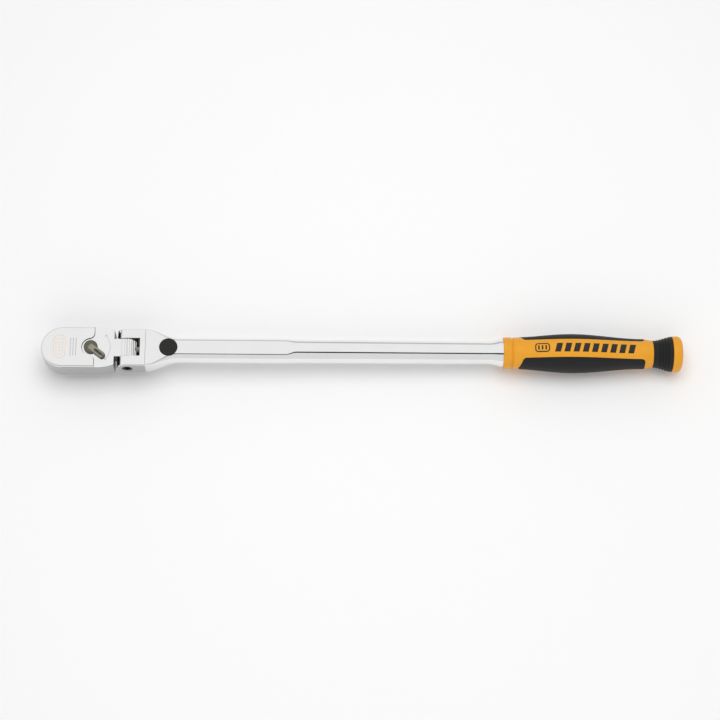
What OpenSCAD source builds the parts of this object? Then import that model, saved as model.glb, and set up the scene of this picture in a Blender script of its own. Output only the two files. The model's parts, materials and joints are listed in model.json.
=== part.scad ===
// Locking flex-head ratchet wrench, half-inch drive, 24 inches long.
// Origin: on the drive axis, in the shoulder plane that a socket seats against.
// +X runs along the handle to the grip, +Z points to the reversing lever's side.

/* [Drive] */
// Width of the drive square across its flats
drive_square = 12.7; // [12.6:0.05:12.75]
// Length of the drive square below the socket seat
drive_length = 16; // [14:0.5:18]
// Number of teeth on the drive gear
gear_teeth = 84; // [72:12:96]
// Radius over the gear's teeth
gear_r = 14.7; // [14.5:0.1:14.8]
// Depth of one gear tooth
tooth_depth = 0.55; // [0.5:0.05:0.6]
// Radius of the detent ball in the square
ball_r = 2.38; // [2.3:0.02:2.4]

/* [Head] */
// Width of the head across its round nose
head_w = 41.2; // [40.6:0.2:42]
// Height of the gear housing above the handle's axis
head_top = 9; // [8.8:0.1:9.2]
// Depth of the head below the handle's axis
head_bottom = 13.6; // [13.5:0.1:13.8]
// Depth of the lever's plateau below the housing's top
plateau_drop = 1.4; // [1.2:0.1:1.6]
// Rounding of the head's long edges
head_edge_r = 2.6; // [2:0.2:3]
// Thickness of the drive-side cover plate
cover_t = 2.5; // [2.3:0.1:2.6]

/* [Reversing lever] */
// Distance from the drive axis to the lever's axis
lever_x = 26.6; // [26.4:0.1:26.8]
// Radius of the lever's disc
lever_disc_r = 6.55; // [6.3:0.05:6.8]
// Reach of the thumb tail from the lever's axis
lever_reach = 16.8; // [16:0.2:17.4]
// Turn of the lever to each side of the handle's line
lever_swing = 38; // [36:1:40]
// Rock of the pawl to each side of its middle
pawl_swing = 5; // [4.8:0.1:5.2]

/* [Flex joint] */
// Distance from the drive axis to the hinge
hinge_x = 61; // [60.8:0.1:61.4]
// Width of the head's tongue
tongue_w = 17.7; // [17:0.1:18]
// Radius of the tongue about the hinge
tongue_r = 9.3; // [9.2:0.05:9.4]
// Angle between two lock positions
lock_pitch = 15; // [15:15:15]
// Width of the yoke
yoke_w = 37.1; // [36:0.1:38]
// Thickness of the yoke
yoke_t = 19.7; // [19.5:0.1:20]
// Travel of the lock bar and of its button
lock_travel = 1.6; // [1.5:0.1:1.6]

/* [Handle] */
// Overall length from the head's nose to the end cap
overall_l = 610.6; // [600:0.1:620]
// Width of the forged part of the shaft
forged_w = 23.6; // [23:0.1:24]
// Diameter of the round shaft at its thick end
shaft_d1 = 22.8; // [22:0.1:23]
// Diameter of the round shaft where the flare begins
shaft_d2 = 21.8; // [21:0.1:22]
// Largest diameter of the grip
grip_d = 37; // [36:0.1:38]
// Half width of the grip's bare spine
spine_half = 8.8; // [8:0.1:9.4]

/* [Hidden] */
$fn = 96;
cut = 0.5;            // overrun that makes a cutter pass a face
running_gap = 0.05;   // radial clearance of a running fit
end_gap = 0.1;        // clearance at the end of a pin, a spring or a blade

// Heights above the socket seat
boss_proud = 0.4;
axis_z = head_bottom + boss_proud;
head_z0 = boss_proud;
head_z1 = axis_z + head_top;
plateau_z = head_z1 - plateau_drop;
pocket_z0 = head_z0 + cover_t;
pocket_z1 = 15;
thrust_gap = 0.2;
gear_z0 = pocket_z0 + thrust_gap;
gear_z1 = 14;

// Head outline: nose circle, parallel sides, then a taper of two large arcs
nose_r = head_w / 2;
taper_x = 33;
shoulder_x = 48.7;
shoulder_half = 17.5;
taper_l = shoulder_x - taper_x;
taper_in = nose_r - shoulder_half;
taper_r = (taper_l * taper_l + taper_in * taper_in) / (2 * taper_in);
blend_r = 5;
step_x = lever_x + 3.2;
step_arc_r = 8.8;
blend_y = sqrt(pow(step_arc_r + blend_r, 2) - pow(step_x - blend_r - lever_x, 2));

// Pockets and shafts of the gear train
boss_r = 11;
spigot_r = 9;
spigot_z1 = 17.6;
spigot_room = 0.4;
gear_pocket_r = gear_r + 0.5;
pawl_back_r = 12.9;
pawl_back_x = 11.5;
pawl_room = 1.6;
pawl_pivot_x = 18;
pawl_pin_r = 1.4;
pin_floor = 0.6;
pin_seat_l = 2.5;
pawl_end_x = 10.2;
lever_pit_r = 7.5;
lever_shaft_r = 4.5;
plunger_r = 1.5;
plunger_reach = 6;
plunger_back = 1;
plunger_z = 8.5;
plunger_hole_end = -3;
clip_z0 = 13.95;
clip_t = 0.85;
clip_groove_r = 3.6;
clip_r = 5.9;
clip_opening = 2.4;
o_ring_z = 18.5;
o_ring_wire_r = 0.7;

// Cover plate and its screws
cover_half = 17.4;
cover_end_x = 38;
cover_corner_r = 6;
screw_x = 32.5;
screw_y = 11.5;
screw_r = 1.5;
screw_head_r = 2.9;
screw_head_t = 1.5;
screw_l = 10;
screw_sink = 0.1;
screw_key_r = 1.15;
screw_key_l = 1.2;

// Detent ball: it stands proud of the square's face towards -Y
ball_proud = 0.9;
ball_rest_y = -drive_square / 2 - ball_proud + ball_r;
ball_z = -9;
ball_hole_end_y = 4.2;

// Flex joint
neck_half = head_top - plateau_drop;
neck_root = 2;
groove_side = 1.2;
tooth_side = 1.08;
groove_count_half = 7;
hinge_shank_r = 3.5;
hinge_head_r = 4.9;
hinge_head_l = 3.4;
hinge_sink = 0.6;
hinge_end_y = 16.4;
hinge_key = 6;
slot_end_x = 73.1;
ear_end_x = 78.3;
ear_chamfer = 1.6;
yoke_r = yoke_t / 2;

// Lock bar and button: a 45 degree ramp turns the press into the bar's slide
bar_r = 5;
bar_x0 = hinge_x + 4;
bar_end_x = 110;
bar_bore_end_x = 116;
button_x = 100;
button_r = 8.65;
button_top = 11.05;
button_edge = 0.5;
button_skirt = 7.5;
button_roof = 9.9;
button_bore_r = 7.2;
button_floor = 5.8;
blade_half = 2.2;
blade_x0 = 96;
ramp_x0 = 98;
ramp_z0 = -5;
ramp_l = 5.5;
foot_x0 = 92.6;
foot_z0 = -6.4;
foot_z1 = -5.15;
foot_room = 5;

// Neck and forged shaft: superellipse sections blended from yoke to shaft
neck_x0 = 77.6;
neck_x1 = 110;
neck_steps = 13;
forged_end_x = 206;
round_x = 222;
round_steps = 5;
forged_half_t = 9.95;
section_sides = 40;
section_inset = 0.06;   // keeps the last section just inside the round shaft
flare_x0 = 405;
grip_x0 = 418;
flare_r = 13.3;
tang_r = 9;
tang_end_x = 556;

// Grip
ring_r = 15;
ring_groove_x = 427;
ring_groove = 0.6;
ring_edge = 0.8;
belly_x = 484;
grip_tail_x = 552;
grip_tail_r = 14.2;
grip_end_x = 561;
grip_end_r = 12.7;
grip_steps = 14;
pad_x0 = 433;
pad_x1 = grip_tail_x - 0.4;
pad_slant = 13;
pad_end_half = 12;
pad_t = 1.8;
pad_proud = 0.2;
pad_corner_r = 4;
spigot_core_r = 10;
spigot_end_x = 584;
collar_end_x = 579.5;
collar_r = 16.9;
collar_ridges = 3;
collar_ridge_x = 567.5;
collar_ridge_pitch = 2.7;
collar_ridge_r = 0.8;
cap_r = 17.2;
cap_edge_r = 4.5;
cap_dome = 1.2;
cap_end_x = overall_l - nose_r;

// Blend from 0 to 1 with level ends
function ease(t) = (1 - cos(180 * t)) / 2;
function mix(a, b, t) = a + (b - a) * t;
function turned(p, centre, a) = [
    centre[0] + (p[0] - centre[0]) * cos(a) - (p[1] - centre[1]) * sin(a),
    centre[1] + (p[0] - centre[0]) * sin(a) + (p[1] - centre[1]) * cos(a)];

module at_axis() {
    translate([0, 0, axis_z]) children();
}

// A round part turned about the handle's axis; the profile is [x, r]
module turn_on_handle() {
    at_axis() rotate([0, 90, 0]) rotate_extrude() children();
}

module both_sides() {
    children();
    mirror([0, 1, 0]) children();
}

// Compression spring from z = 0 to length, swept as a helix
module coil_spring(length, coil_r, wire_r, turns) {
    sides = 6;
    steps = 14;
    rings = turns * steps;
    rise = length - 2 * wire_r;
    points = [for (i = [0:rings], j = [0:sides - 1])
        let (a = 360 * i / steps, b = 360 * j / sides,
            r = coil_r + wire_r * cos(b))
        [r * cos(a), r * sin(a), wire_r + rise * i / rings + wire_r * sin(b)]];
    walls = [for (i = [0:rings - 1], j = [0:sides - 1])
        let (k = (j + 1) % sides)
        [i * sides + j, i * sides + k, (i + 1) * sides + k, (i + 1) * sides + j]];
    start_cap = [[for (j = [sides - 1:-1:0]) j]];
    end_cap_face = [[for (j = [0:sides - 1]) rings * sides + j]];
    polyhedron(points, concat(walls, start_cap, end_cap_face), convexity = 8);
}

// ---- Head ----

// Half of the head's cross-section, from its middle out to half_w
module head_section(half_w) {
    translate([0, head_z0]) square([half_w - head_edge_r, head_z1 - head_z0]);
    translate([0, head_z0 + head_edge_r])
        square([half_w, head_z1 - head_z0 - 2 * head_edge_r]);
    for (z = [head_z0 + head_edge_r, head_z1 - head_edge_r])
        translate([half_w - head_edge_r, z]) circle(head_edge_r);
}

module taper_side() {
    translate([taper_x, nose_r - taper_r, 0]) rotate_extrude($fn = 180)
        head_section(taper_r);
}

module head_blank() {
    rotate_extrude() head_section(nose_r);
    both_sides() rotate([90, 0, 90]) linear_extrude(taper_x) head_section(nose_r);
    intersection() {
        taper_side();
        mirror([0, 1, 0]) taper_side();
        translate([taper_x - 0.01, -nose_r, 0])
            cube([taper_l + 0.01, head_w, head_z1 + cut]);
    }
}

// Area of the lowered plateau round the lever
module plateau_area() {
    translate([lever_x, 0]) circle(step_arc_r);
    difference() {
        translate([lever_x - 1.2, -blend_y]) square([step_x - lever_x + 1.2 + cut, 2 * blend_y]);
        both_sides() translate([step_x - blend_r, blend_y]) circle(blend_r);
    }
    translate([step_x, -nose_r - cut]) square([shoulder_x - step_x + cut, head_w + 2 * cut]);
}

module groove_bar(side, width) {
    rotate([0, 45, 0]) cube([side, width, side], center = true);
}

module tongue() {
    difference() {
        union() {
            translate([shoulder_x - neck_root, -tongue_w / 2, axis_z - neck_half])
                cube([hinge_x - shoulder_x + neck_root, tongue_w, 2 * neck_half]);
            translate([hinge_x, 0, axis_z]) rotate([90, 0, 0])
                cylinder(h = tongue_w, r = tongue_r, center = true);
        }
        translate([hinge_x, 0, axis_z]) {
            for (i = [-groove_count_half:groove_count_half])
                rotate([0, i * lock_pitch, 0]) translate([tongue_r, 0, 0])
                    groove_bar(groove_side, tongue_w + 2 * cut);
            rotate([90, 0, 0])
                cylinder(h = tongue_w + 2 * cut, r = hinge_shank_r + running_gap, center = true);
        }
    }
}

module cover_outline(half_w, end_x, corner_r) {
    circle(half_w);
    translate([0, -half_w]) square([end_x - corner_r, 2 * half_w]);
    translate([0, corner_r - half_w]) square([end_x, 2 * (half_w - corner_r)]);
    for (side = [-1, 1])
        translate([end_x - corner_r, side * (half_w - corner_r)]) circle(corner_r);
}

module head_pockets() {
    translate([0, 0, head_z0 - cut]) linear_extrude(cover_t + cut)
        cover_outline(cover_half + running_gap, cover_end_x + running_gap, cover_corner_r);
    translate([0, 0, pocket_z0 - cut]) {
        cylinder(h = pocket_z1 - pocket_z0 + cut, r = gear_pocket_r);
        translate([pawl_back_x, 0, 0])
            cylinder(h = pocket_z1 - pocket_z0 + cut, r = pawl_back_r + pawl_room);
        translate([lever_x, 0, 0])
            cylinder(h = pocket_z1 - pocket_z0 + cut, r = lever_pit_r);
    }
    translate([0, 0, pocket_z1 - cut])
        cylinder(h = spigot_z1 - pocket_z1 + spigot_room + cut, r = spigot_r + running_gap);
    translate([lever_x, 0, pocket_z1 - cut])
        cylinder(h = head_z1 - pocket_z1 + 2 * cut, r = lever_shaft_r + running_gap);
    translate([pawl_pivot_x, 0, pocket_z1 - cut]) cylinder(h = pin_seat_l + cut, r = pawl_pin_r);
    both_sides() translate([screw_x, screw_y, pocket_z0 - cut])
        cylinder(h = screw_l + cut, r = screw_r);
}

module head_body() {
    color("gainsboro") {
        difference() {
            head_blank();
            translate([0, 0, plateau_z]) linear_extrude(plateau_drop + cut) plateau_area();
            head_pockets();
        }
        tongue();
    }
}

module cover_plate() {
    color("silver") difference() {
        translate([0, 0, head_z0]) linear_extrude(cover_t)
            cover_outline(cover_half, cover_end_x, cover_corner_r);
        translate([0, 0, head_z0 - cut])
            cylinder(h = cover_t + 2 * cut, r = boss_r + running_gap);
        translate([pawl_pivot_x, 0, head_z0 + pin_floor])
            cylinder(h = cover_t, r = pawl_pin_r);
        both_sides() translate([screw_x, screw_y, head_z0 - cut]) {
            cylinder(h = cover_t + 2 * cut, r = screw_r + running_gap);
            cylinder(h = cut + screw_sink, r = screw_head_r);
            translate([0, 0, cut + screw_sink])
                cylinder(h = screw_head_t, r1 = screw_head_r, r2 = screw_r);
        }
    }
}

module cover_screws() {
    color("dimgray") both_sides() translate([screw_x, screw_y, head_z0 + screw_sink]) difference() {
        union() {
            cylinder(h = screw_head_t, r1 = screw_head_r, r2 = screw_r);
            cylinder(h = screw_l, r = screw_r);
        }
        translate([0, 0, -cut]) cylinder(h = screw_key_l + cut, r = screw_key_r, $fn = 6);
    }
}

module thrust_ring() {
    ring_t = pocket_z1 - gear_z1 - thrust_gap;
    color("tan") translate([0, 0, gear_z1 + thrust_gap]) difference() {
        cylinder(h = ring_t, r = gear_r - 0.7);
        translate([0, 0, -cut]) cylinder(h = ring_t + 2 * cut, r = spigot_r + 0.6);
    }
}

module pawl_pin() {
    pin_z0 = head_z0 + pin_floor + end_gap;
    color("darkgray") translate([pawl_pivot_x, 0, pin_z0])
        cylinder(h = pocket_z1 + pin_seat_l - end_gap - pin_z0, r = pawl_pin_r);
}

// ---- Drive ----

// Toothed outline; grow adds the same clearance to tips and roots
module gear_outline(grow = 0) {
    polygon([for (i = [0:2 * gear_teeth - 1])
        let (a = 180 * i / gear_teeth,
            r = (i % 2 == 0 ? gear_r - tooth_depth : gear_r) + grow)
        [r * cos(a), r * sin(a)]]);
}

module drive_anvil() {
    corner_r = drive_square * 0.665;
    chamfer = 1.4;
    intersection() {
        translate([-drive_square / 2, -drive_square / 2, -drive_length])
            cube([drive_square, drive_square, drive_length + 0.5]);
        union() {
            translate([0, 0, chamfer - drive_length])
                cylinder(h = drive_length, r = corner_r);
            translate([0, 0, -drive_length])
                cylinder(h = chamfer, r1 = corner_r - chamfer, r2 = corner_r);
        }
    }
}

module drive_gear() {
    color("lightgray") difference() {
        union() {
            translate([0, 0, gear_z0]) linear_extrude(gear_z1 - gear_z0) gear_outline();
            cylinder(h = gear_z0 + 0.1, r = boss_r);
            translate([0, 0, gear_z1 - 0.1]) cylinder(h = spigot_z1 - gear_z1 + 0.1, r = spigot_r);
            drive_anvil();
        }
        translate([0, ball_hole_end_y, ball_z]) rotate([90, 0, 0])
            cylinder(h = drive_square, r = ball_r + running_gap);
    }
}

module ball_spring() {
    color("slategray") translate([0, ball_hole_end_y - end_gap / 2, ball_z]) rotate([90, 0, 0])
        coil_spring(ball_hole_end_y - end_gap - (ball_rest_y + ball_r), 1.5, 0.3, 3);
}

module detent_ball() {
    color("whitesmoke") translate([0, ball_rest_y, ball_z]) sphere(ball_r);
}

// ---- Pawl and reversing lever ----

// Path of the plunger's tip, seen from the pawl as lever and pawl turn together
function tip_path(reach) = [for (i = [-11:11])
    let (lever_a = i * lever_swing / 9,
        pawl_a = -pawl_swing * i / 9,
        tip = [lever_x - reach * cos(lever_a), -reach * sin(lever_a)])
    turned(tip, [pawl_pivot_x, 0], -pawl_a)];

module turned_about_pivot(a) {
    translate([pawl_pivot_x, 0]) rotate(a) translate([-pawl_pivot_x, 0]) children();
}

module pawl_outline() {
    tooth_gap = 0.06;
    difference() {
        intersection() {
            translate([pawl_back_x, 0]) circle(pawl_back_r);
            translate([pawl_end_x, -pawl_back_r]) square([pawl_back_r, 2 * pawl_back_r]);
        }
        circle(gear_r + 2 * tooth_gap);
        for (a = [-pawl_swing, pawl_swing])
            turned_about_pivot(a) gear_outline(tooth_gap);
        polygon(concat(tip_path(plunger_reach + tooth_gap), [[lever_x, -12], [lever_x, 12]]));
        translate([pawl_pivot_x, 0]) circle(pawl_pin_r + running_gap);
    }
}

module pawl() {
    color("darkgray") translate([0, 0, gear_z0 + 0.2])
        linear_extrude(gear_z1 - gear_z0 - 0.6)
        turned_about_pivot(pawl_swing) pawl_outline();
}

module at_lever() {
    translate([lever_x, 0, 0]) rotate(-lever_swing) children();
}

module reverse_lever() {
    tail_r = 3.2;
    tail_x = lever_reach - tail_r;
    tail_rise = 0.6;
    disc_z = plateau_z + end_gap;
    disc_t = 2.2;
    slot_x0 = 6;
    slot_x1 = 13;
    slot_r = 1.1;
    color("dimgray") at_lever() difference() {
        union() {
            translate([0, 0, gear_z0 + end_gap])
                cylinder(h = disc_z - gear_z0, r = lever_shaft_r);
            translate([0, 0, disc_z]) cylinder(h = disc_t, r = lever_disc_r);
            translate([0, 0, disc_z + end_gap]) linear_extrude(disc_t + tail_rise - end_gap) {
                translate([0, -tail_r]) square([tail_x, 2 * tail_r]);
                translate([tail_x, 0]) circle(tail_r);
                circle(tail_r + 1);
            }
        }
        translate([0, 0, disc_z + disc_t]) linear_extrude(tail_rise + cut) {
            translate([slot_x0, -slot_r]) square([slot_x1 - slot_x0, 2 * slot_r]);
            for (x = [slot_x0, slot_x1]) translate([x, 0]) circle(slot_r);
        }
        translate([0, 0, clip_z0]) difference() {
            cylinder(h = clip_t, r = lever_shaft_r + 1);
            translate([0, 0, -cut]) cylinder(h = clip_t + 2 * cut, r = clip_groove_r);
        }
        translate([0, 0, o_ring_z - o_ring_wire_r]) difference() {
            cylinder(h = 2 * o_ring_wire_r, r = lever_shaft_r + 1);
            translate([0, 0, -cut])
                cylinder(h = 2 * (o_ring_wire_r + cut), r = lever_shaft_r - 2 * o_ring_wire_r);
        }
        translate([-plunger_hole_end, 0, plunger_z]) rotate([0, -90, 0])
            cylinder(h = 2 * lever_shaft_r, r = plunger_r + running_gap);
    }
}

module lever_o_ring() {
    color("black") translate([lever_x, 0, o_ring_z]) rotate_extrude()
        translate([lever_shaft_r - o_ring_wire_r, 0]) circle(o_ring_wire_r, $fn = 32);
}

module lever_retaining_ring() {
    color("darkslategray") at_lever() translate([0, 0, clip_z0]) difference() {
        cylinder(h = clip_t, r = clip_r);
        translate([0, 0, -cut]) cylinder(h = clip_t + 2 * cut, r = clip_groove_r);
        translate([0, -clip_opening / 2, -cut])
            cube([clip_r + cut, clip_opening, clip_t + 2 * cut]);
    }
}

module lever_plunger() {
    color("lightgray") at_lever() translate([0, 0, plunger_z]) rotate([0, -90, 0]) {
        translate([0, 0, plunger_back])
            cylinder(h = plunger_reach - plunger_r - plunger_back, r = plunger_r);
        translate([0, 0, plunger_reach - plunger_r]) sphere(plunger_r, $fn = 48);
    }
}

module plunger_spring() {
    color("slategray") at_lever() translate([-plunger_hole_end - end_gap / 2, 0, plunger_z])
        rotate([0, -90, 0])
        coil_spring(plunger_back - plunger_hole_end - 1.5 * end_gap, 1, 0.25, 5);
}

// ---- Handle ----

function neck_t(x) = min(1, max(0, (x - neck_x0) / (neck_x1 - neck_x0)));
function round_t(x) = min(1, max(0, (x - forged_end_x) / (round_x - forged_end_x)));
function section_half_w(x) = mix(mix(yoke_w / 2 - 0.4, forged_w / 2, ease(neck_t(x))),
    shaft_d1 / 2 - section_inset, ease(round_t(x)));
function section_half_t(x) = mix(mix(yoke_r - 0.1, forged_half_t, neck_t(x)),
    shaft_d1 / 2 - section_inset, ease(round_t(x)));
function section_power(x) = mix(mix(7, 2.5, pow(neck_t(x), 0.6)), 2, ease(round_t(x)));
function signed_power(v, p) = sign(v) * pow(abs(v), p);
function section(x) = [for (j = [0:section_sides - 1])
    let (a = 360 * j / section_sides, p = 2 / section_power(x))
    [x, section_half_w(x) * signed_power(cos(a), p),
        section_half_t(x) * signed_power(sin(a), p)]];

module forged_neck() {
    xs = concat([for (i = [0:neck_steps]) mix(neck_x0, neck_x1, i / neck_steps)],
        [for (i = [0:round_steps]) mix(forged_end_x, round_x, i / round_steps)]);
    n = section_sides;
    last = len(xs) - 1;
    points = [for (x = xs) each section(x)];
    walls = [for (i = [0:last - 1], j = [0:n - 1])
        let (k = (j + 1) % n)
        each [[i * n + j, (i + 1) * n + j, (i + 1) * n + k],
            [i * n + j, (i + 1) * n + k, i * n + k]]];
    caps = [[for (j = [0:n - 1]) j], [for (j = [n - 1:-1:0]) last * n + j]];
    at_axis() polyhedron(points, concat(walls, caps), convexity = 4);
}

module yoke_section() {
    half_w = yoke_w / 2;
    polygon([[half_w, ear_chamfer - yoke_r], [half_w, yoke_r - ear_chamfer],
        [half_w - ear_chamfer, yoke_r], [ear_chamfer - half_w, yoke_r],
        [-half_w, yoke_r - ear_chamfer], [-half_w, ear_chamfer - yoke_r],
        [ear_chamfer - half_w, -yoke_r], [half_w - ear_chamfer, -yoke_r]]);
}

module yoke_block() {
    at_axis() intersection() {
        translate([hinge_x - yoke_r - 1, 0, 0]) rotate([90, 0, 90])
            linear_extrude(ear_end_x - hinge_x + yoke_r + 1) yoke_section();
        union() {
            translate([hinge_x, 0, 0]) rotate([90, 0, 0])
                cylinder(h = yoke_w + 2, r = yoke_r, center = true);
            translate([hinge_x, -yoke_w, -yoke_r - 1]) cube([40, 2 * yoke_w, yoke_t + 2]);
        }
    }
}

module round_shaft() {
    turn_on_handle() polygon([[0, round_x - 0.5], [shaft_d1 / 2, round_x - 0.5],
        [shaft_d2 / 2, flare_x0],
        for (i = [1:6]) [mix(shaft_d2 / 2, flare_r, ease(i / 6)), mix(flare_x0, grip_x0 - 1, i / 6)],
        [flare_r, grip_x0], [tang_r, grip_x0], [tang_r, tang_end_x], [0, tang_end_x]]);
}

module hinge_bore() {
    translate([hinge_x, 0, axis_z]) rotate([90, 0, 0]) {
        translate([0, 0, -hinge_end_y - end_gap]) cylinder(h = yoke_w, r = hinge_shank_r);
        translate([0, 0, yoke_w / 2 - hinge_sink - hinge_head_l])
            cylinder(h = hinge_head_l + 2, r = hinge_head_r);
    }
}

module lock_cavity() {
    at_axis() {
        translate([slot_end_x - cut, 0, 0]) rotate([0, 90, 0])
            cylinder(h = bar_bore_end_x - slot_end_x + cut, r = bar_r + running_gap);
        translate([button_x, 0, button_floor]) cylinder(h = 10, r = button_r + running_gap);
        translate([blade_x0 - 2 * end_gap, -blade_half - end_gap, 0])
            cube([ramp_l + ramp_x0 - blade_x0 + 4 * end_gap, 2 * (blade_half + end_gap),
                button_floor + end_gap]);
        translate([foot_x0 - 2 * end_gap, -blade_half - end_gap, foot_z0 - lock_travel - 3 * end_gap])
            cube([ramp_x0 + lock_travel + 5 * end_gap - foot_x0, 2 * (blade_half + end_gap), foot_room]);
    }
}

module handle_bar() {
    color("gainsboro") difference() {
        union() {
            yoke_block();
            forged_neck();
            round_shaft();
        }
        translate([hinge_x - yoke_r - 2, -tongue_w / 2 - end_gap, axis_z - yoke_t])
            cube([slot_end_x - hinge_x + yoke_r + 2, tongue_w + 2 * end_gap, 2 * yoke_t]);
        hinge_bore();
        lock_cavity();
    }
}

module hinge_screw() {
    head_y = yoke_w / 2 - hinge_sink;
    color("dimgray") translate([hinge_x, 0, axis_z]) rotate([90, 0, 0]) difference() {
        union() {
            translate([0, 0, -hinge_end_y])
                cylinder(h = hinge_end_y + head_y, r = hinge_shank_r);
            translate([0, 0, head_y - hinge_head_l])
                cylinder(h = hinge_head_l, r = hinge_head_r);
        }
        translate([0, 0, head_y - 3]) cylinder(h = 4, r = hinge_key / sqrt(3), $fn = 6);
    }
}

// ---- Lock ----

// Ramp profile in the XZ plane; shift moves it along X
module ramp_window(shift) {
    x0 = ramp_x0 + shift;
    back_x = blade_x0 - lock_travel - end_gap;
    polygon([[back_x, -bar_r - cut], [x0 - cut, -bar_r - cut],
        [x0, ramp_z0], [x0 + ramp_l, ramp_z0 + ramp_l], [x0 + ramp_l, bar_r + cut],
        [back_x, bar_r + cut]]);
}

module lock_bar() {
    color("gray") at_axis() {
        difference() {
            translate([bar_x0, 0, 0]) rotate([0, 90, 0])
                cylinder(h = bar_end_x - bar_x0, r = bar_r);
            translate([hinge_x, 0, 0]) rotate([90, 0, 0])
                cylinder(h = 3 * bar_r, r = tongue_r + 1.5 * end_gap, center = true);
            translate([0, blade_half + end_gap, 0]) rotate([90, 0, 0])
                linear_extrude(2 * (blade_half + end_gap)) ramp_window(end_gap / 2);
        }
        intersection() {
            translate([hinge_x, 0, 0]) for (i = [-1:1]) rotate([0, i * lock_pitch, 0])
                translate([tongue_r + end_gap, 0, 0]) groove_bar(tooth_side, 2 * bar_r);
            translate([hinge_x, 0, 0]) rotate([0, 90, 0]) cylinder(h = 20, r = bar_r);
        }
    }
}

module lock_button() {
    color("#2a2a28") at_axis() {
        difference() {
            translate([button_x, 0, button_skirt]) {
                cylinder(h = button_top - button_skirt - button_edge, r = button_r);
                translate([0, 0, button_top - button_skirt - button_edge])
                    cylinder(h = button_edge, r1 = button_r, r2 = button_r - button_edge);
            }
            translate([button_x, 0, button_skirt - cut])
                cylinder(h = button_roof - button_skirt + cut, r = button_bore_r);
        }
        translate([0, blade_half, 0]) rotate([90, 0, 0]) linear_extrude(2 * blade_half)
            polygon([[foot_x0, foot_z0], [ramp_x0, foot_z0], [ramp_x0, ramp_z0],
                [ramp_x0 + ramp_l, ramp_z0 + ramp_l], [ramp_x0 + ramp_l, button_roof + end_gap],
                [blade_x0, button_roof + end_gap], [blade_x0, foot_z1], [foot_x0, foot_z1]]);
    }
}

module lock_spring() {
    color("slategray") at_axis() translate([bar_end_x + end_gap / 2, 0, 0]) rotate([0, 90, 0])
        coil_spring(bar_bore_end_x - bar_end_x - end_gap, 3.8, 0.5, 4);
}

module button_spring() {
    color("slategray") at_axis() translate([button_x, 0, button_floor + end_gap / 2])
        coil_spring(button_roof - button_floor - end_gap, 6.3, 0.35, 3);
}

// ---- Grip ----

function grip_r(x) = x < belly_x
    ? mix(ring_r, grip_d / 2, ease((x - ring_groove_x) / (belly_x - ring_groove_x)))
    : mix(grip_d / 2, grip_tail_r, ease((x - belly_x) / (grip_tail_x - belly_x)));

function grip_line(grow) = concat(
    [for (i = [0:grip_steps]) let (x = mix(ring_groove_x + 1, belly_x, i / grip_steps))
        [grip_r(x) + grow, x]],
    [for (i = [1:grip_steps]) let (x = mix(belly_x, grip_tail_x, i / grip_steps))
        [grip_r(x) + grow, x]]);

function reversed(list) = [for (i = [len(list) - 1:-1:0]) list[i]];

// Side view of one pad, drawn as [x, height]
module pad_side_view() {
    reach = grip_d / 2 + 1;
    intersection() {
        polygon([[pad_x0, 0], [pad_x0 + pad_slant, reach], [grip_tail_x, reach],
            [grip_tail_x, -reach], [pad_x0 + pad_slant, -reach]]);
        union() {
            translate([pad_x0, -reach]) square([pad_x1 - pad_corner_r - pad_x0, 2 * reach]);
            translate([pad_x0, pad_corner_r - pad_end_half])
                square([pad_x1 - pad_x0, 2 * (pad_end_half - pad_corner_r)]);
            for (side = [-1, 1])
                translate([pad_x1 - pad_corner_r, side * (pad_end_half - pad_corner_r)])
                    circle(pad_corner_r);
        }
    }
}

module pad_shell(proud) {
    intersection() {
        turn_on_handle() polygon(concat(grip_line(-pad_t), reversed(grip_line(proud))));
        at_axis() both_sides() translate([0, grip_d, 0]) rotate([90, 0, 0])
            linear_extrude(grip_d - spine_half) pad_side_view();
    }
}

module grip_core() {
    color("orange") difference() {
        turn_on_handle() polygon(concat(
            [[tang_r, grip_x0 + running_gap], [ring_r - ring_edge, grip_x0 + running_gap],
                [ring_r, grip_x0 + running_gap + ring_edge],
                [ring_r, ring_groove_x - ring_groove], [ring_r - ring_groove, ring_groove_x]],
            grip_line(0),
            [[grip_end_r, grip_end_x], [spigot_core_r, grip_end_x],
                [spigot_core_r, spigot_end_x], [0, spigot_end_x], [0, tang_end_x],
                [tang_r, tang_end_x]]));
        pad_shell(3);
    }
}

module grip_pads() {
    color("#2b2b2b") pad_shell(pad_proud);
}

module grip_collar() {
    x0 = grip_end_x + running_gap;
    flare_steps = 8;
    flare = [for (i = [0:flare_steps]) let (t = i / flare_steps)
        [mix(grip_end_r, collar_r, ease(t) * 0.6 + t * 0.4), mix(x0, collar_end_x, t)]];
    color("#262626") difference() {
        turn_on_handle() polygon(concat([[spigot_core_r, x0]], flare,
            [[spigot_core_r, collar_end_x]]));
        for (i = [0:collar_ridges - 1])
            let (x = collar_ridge_x + i * collar_ridge_pitch,
                r = mix(grip_end_r, collar_r, (x - x0) / (collar_end_x - x0)))
            turn_on_handle() translate([r + collar_ridge_r, x]) circle(collar_ridge_r, $fn = 24);
    }
}

// Half of the end cap's section, drawn as [radius, x]
module end_cap_section() {
    x0 = collar_end_x + running_gap;
    edge_x = cap_end_x - cap_dome - cap_edge_r;
    flat_r = cap_r - cap_edge_r;
    dome_steps = 6;
    translate([0, x0]) square([cap_r, edge_x - x0]);
    translate([0, x0]) square([flat_r, cap_end_x - cap_dome - x0]);
    translate([flat_r, edge_x]) circle(cap_edge_r);
    polygon([[0, cap_end_x - cap_dome], for (i = [0:dome_steps]) let (t = i / dome_steps)
        [flat_r * (1 - t), cap_end_x - cap_dome + cap_dome * ease(t)]]);
}

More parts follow.
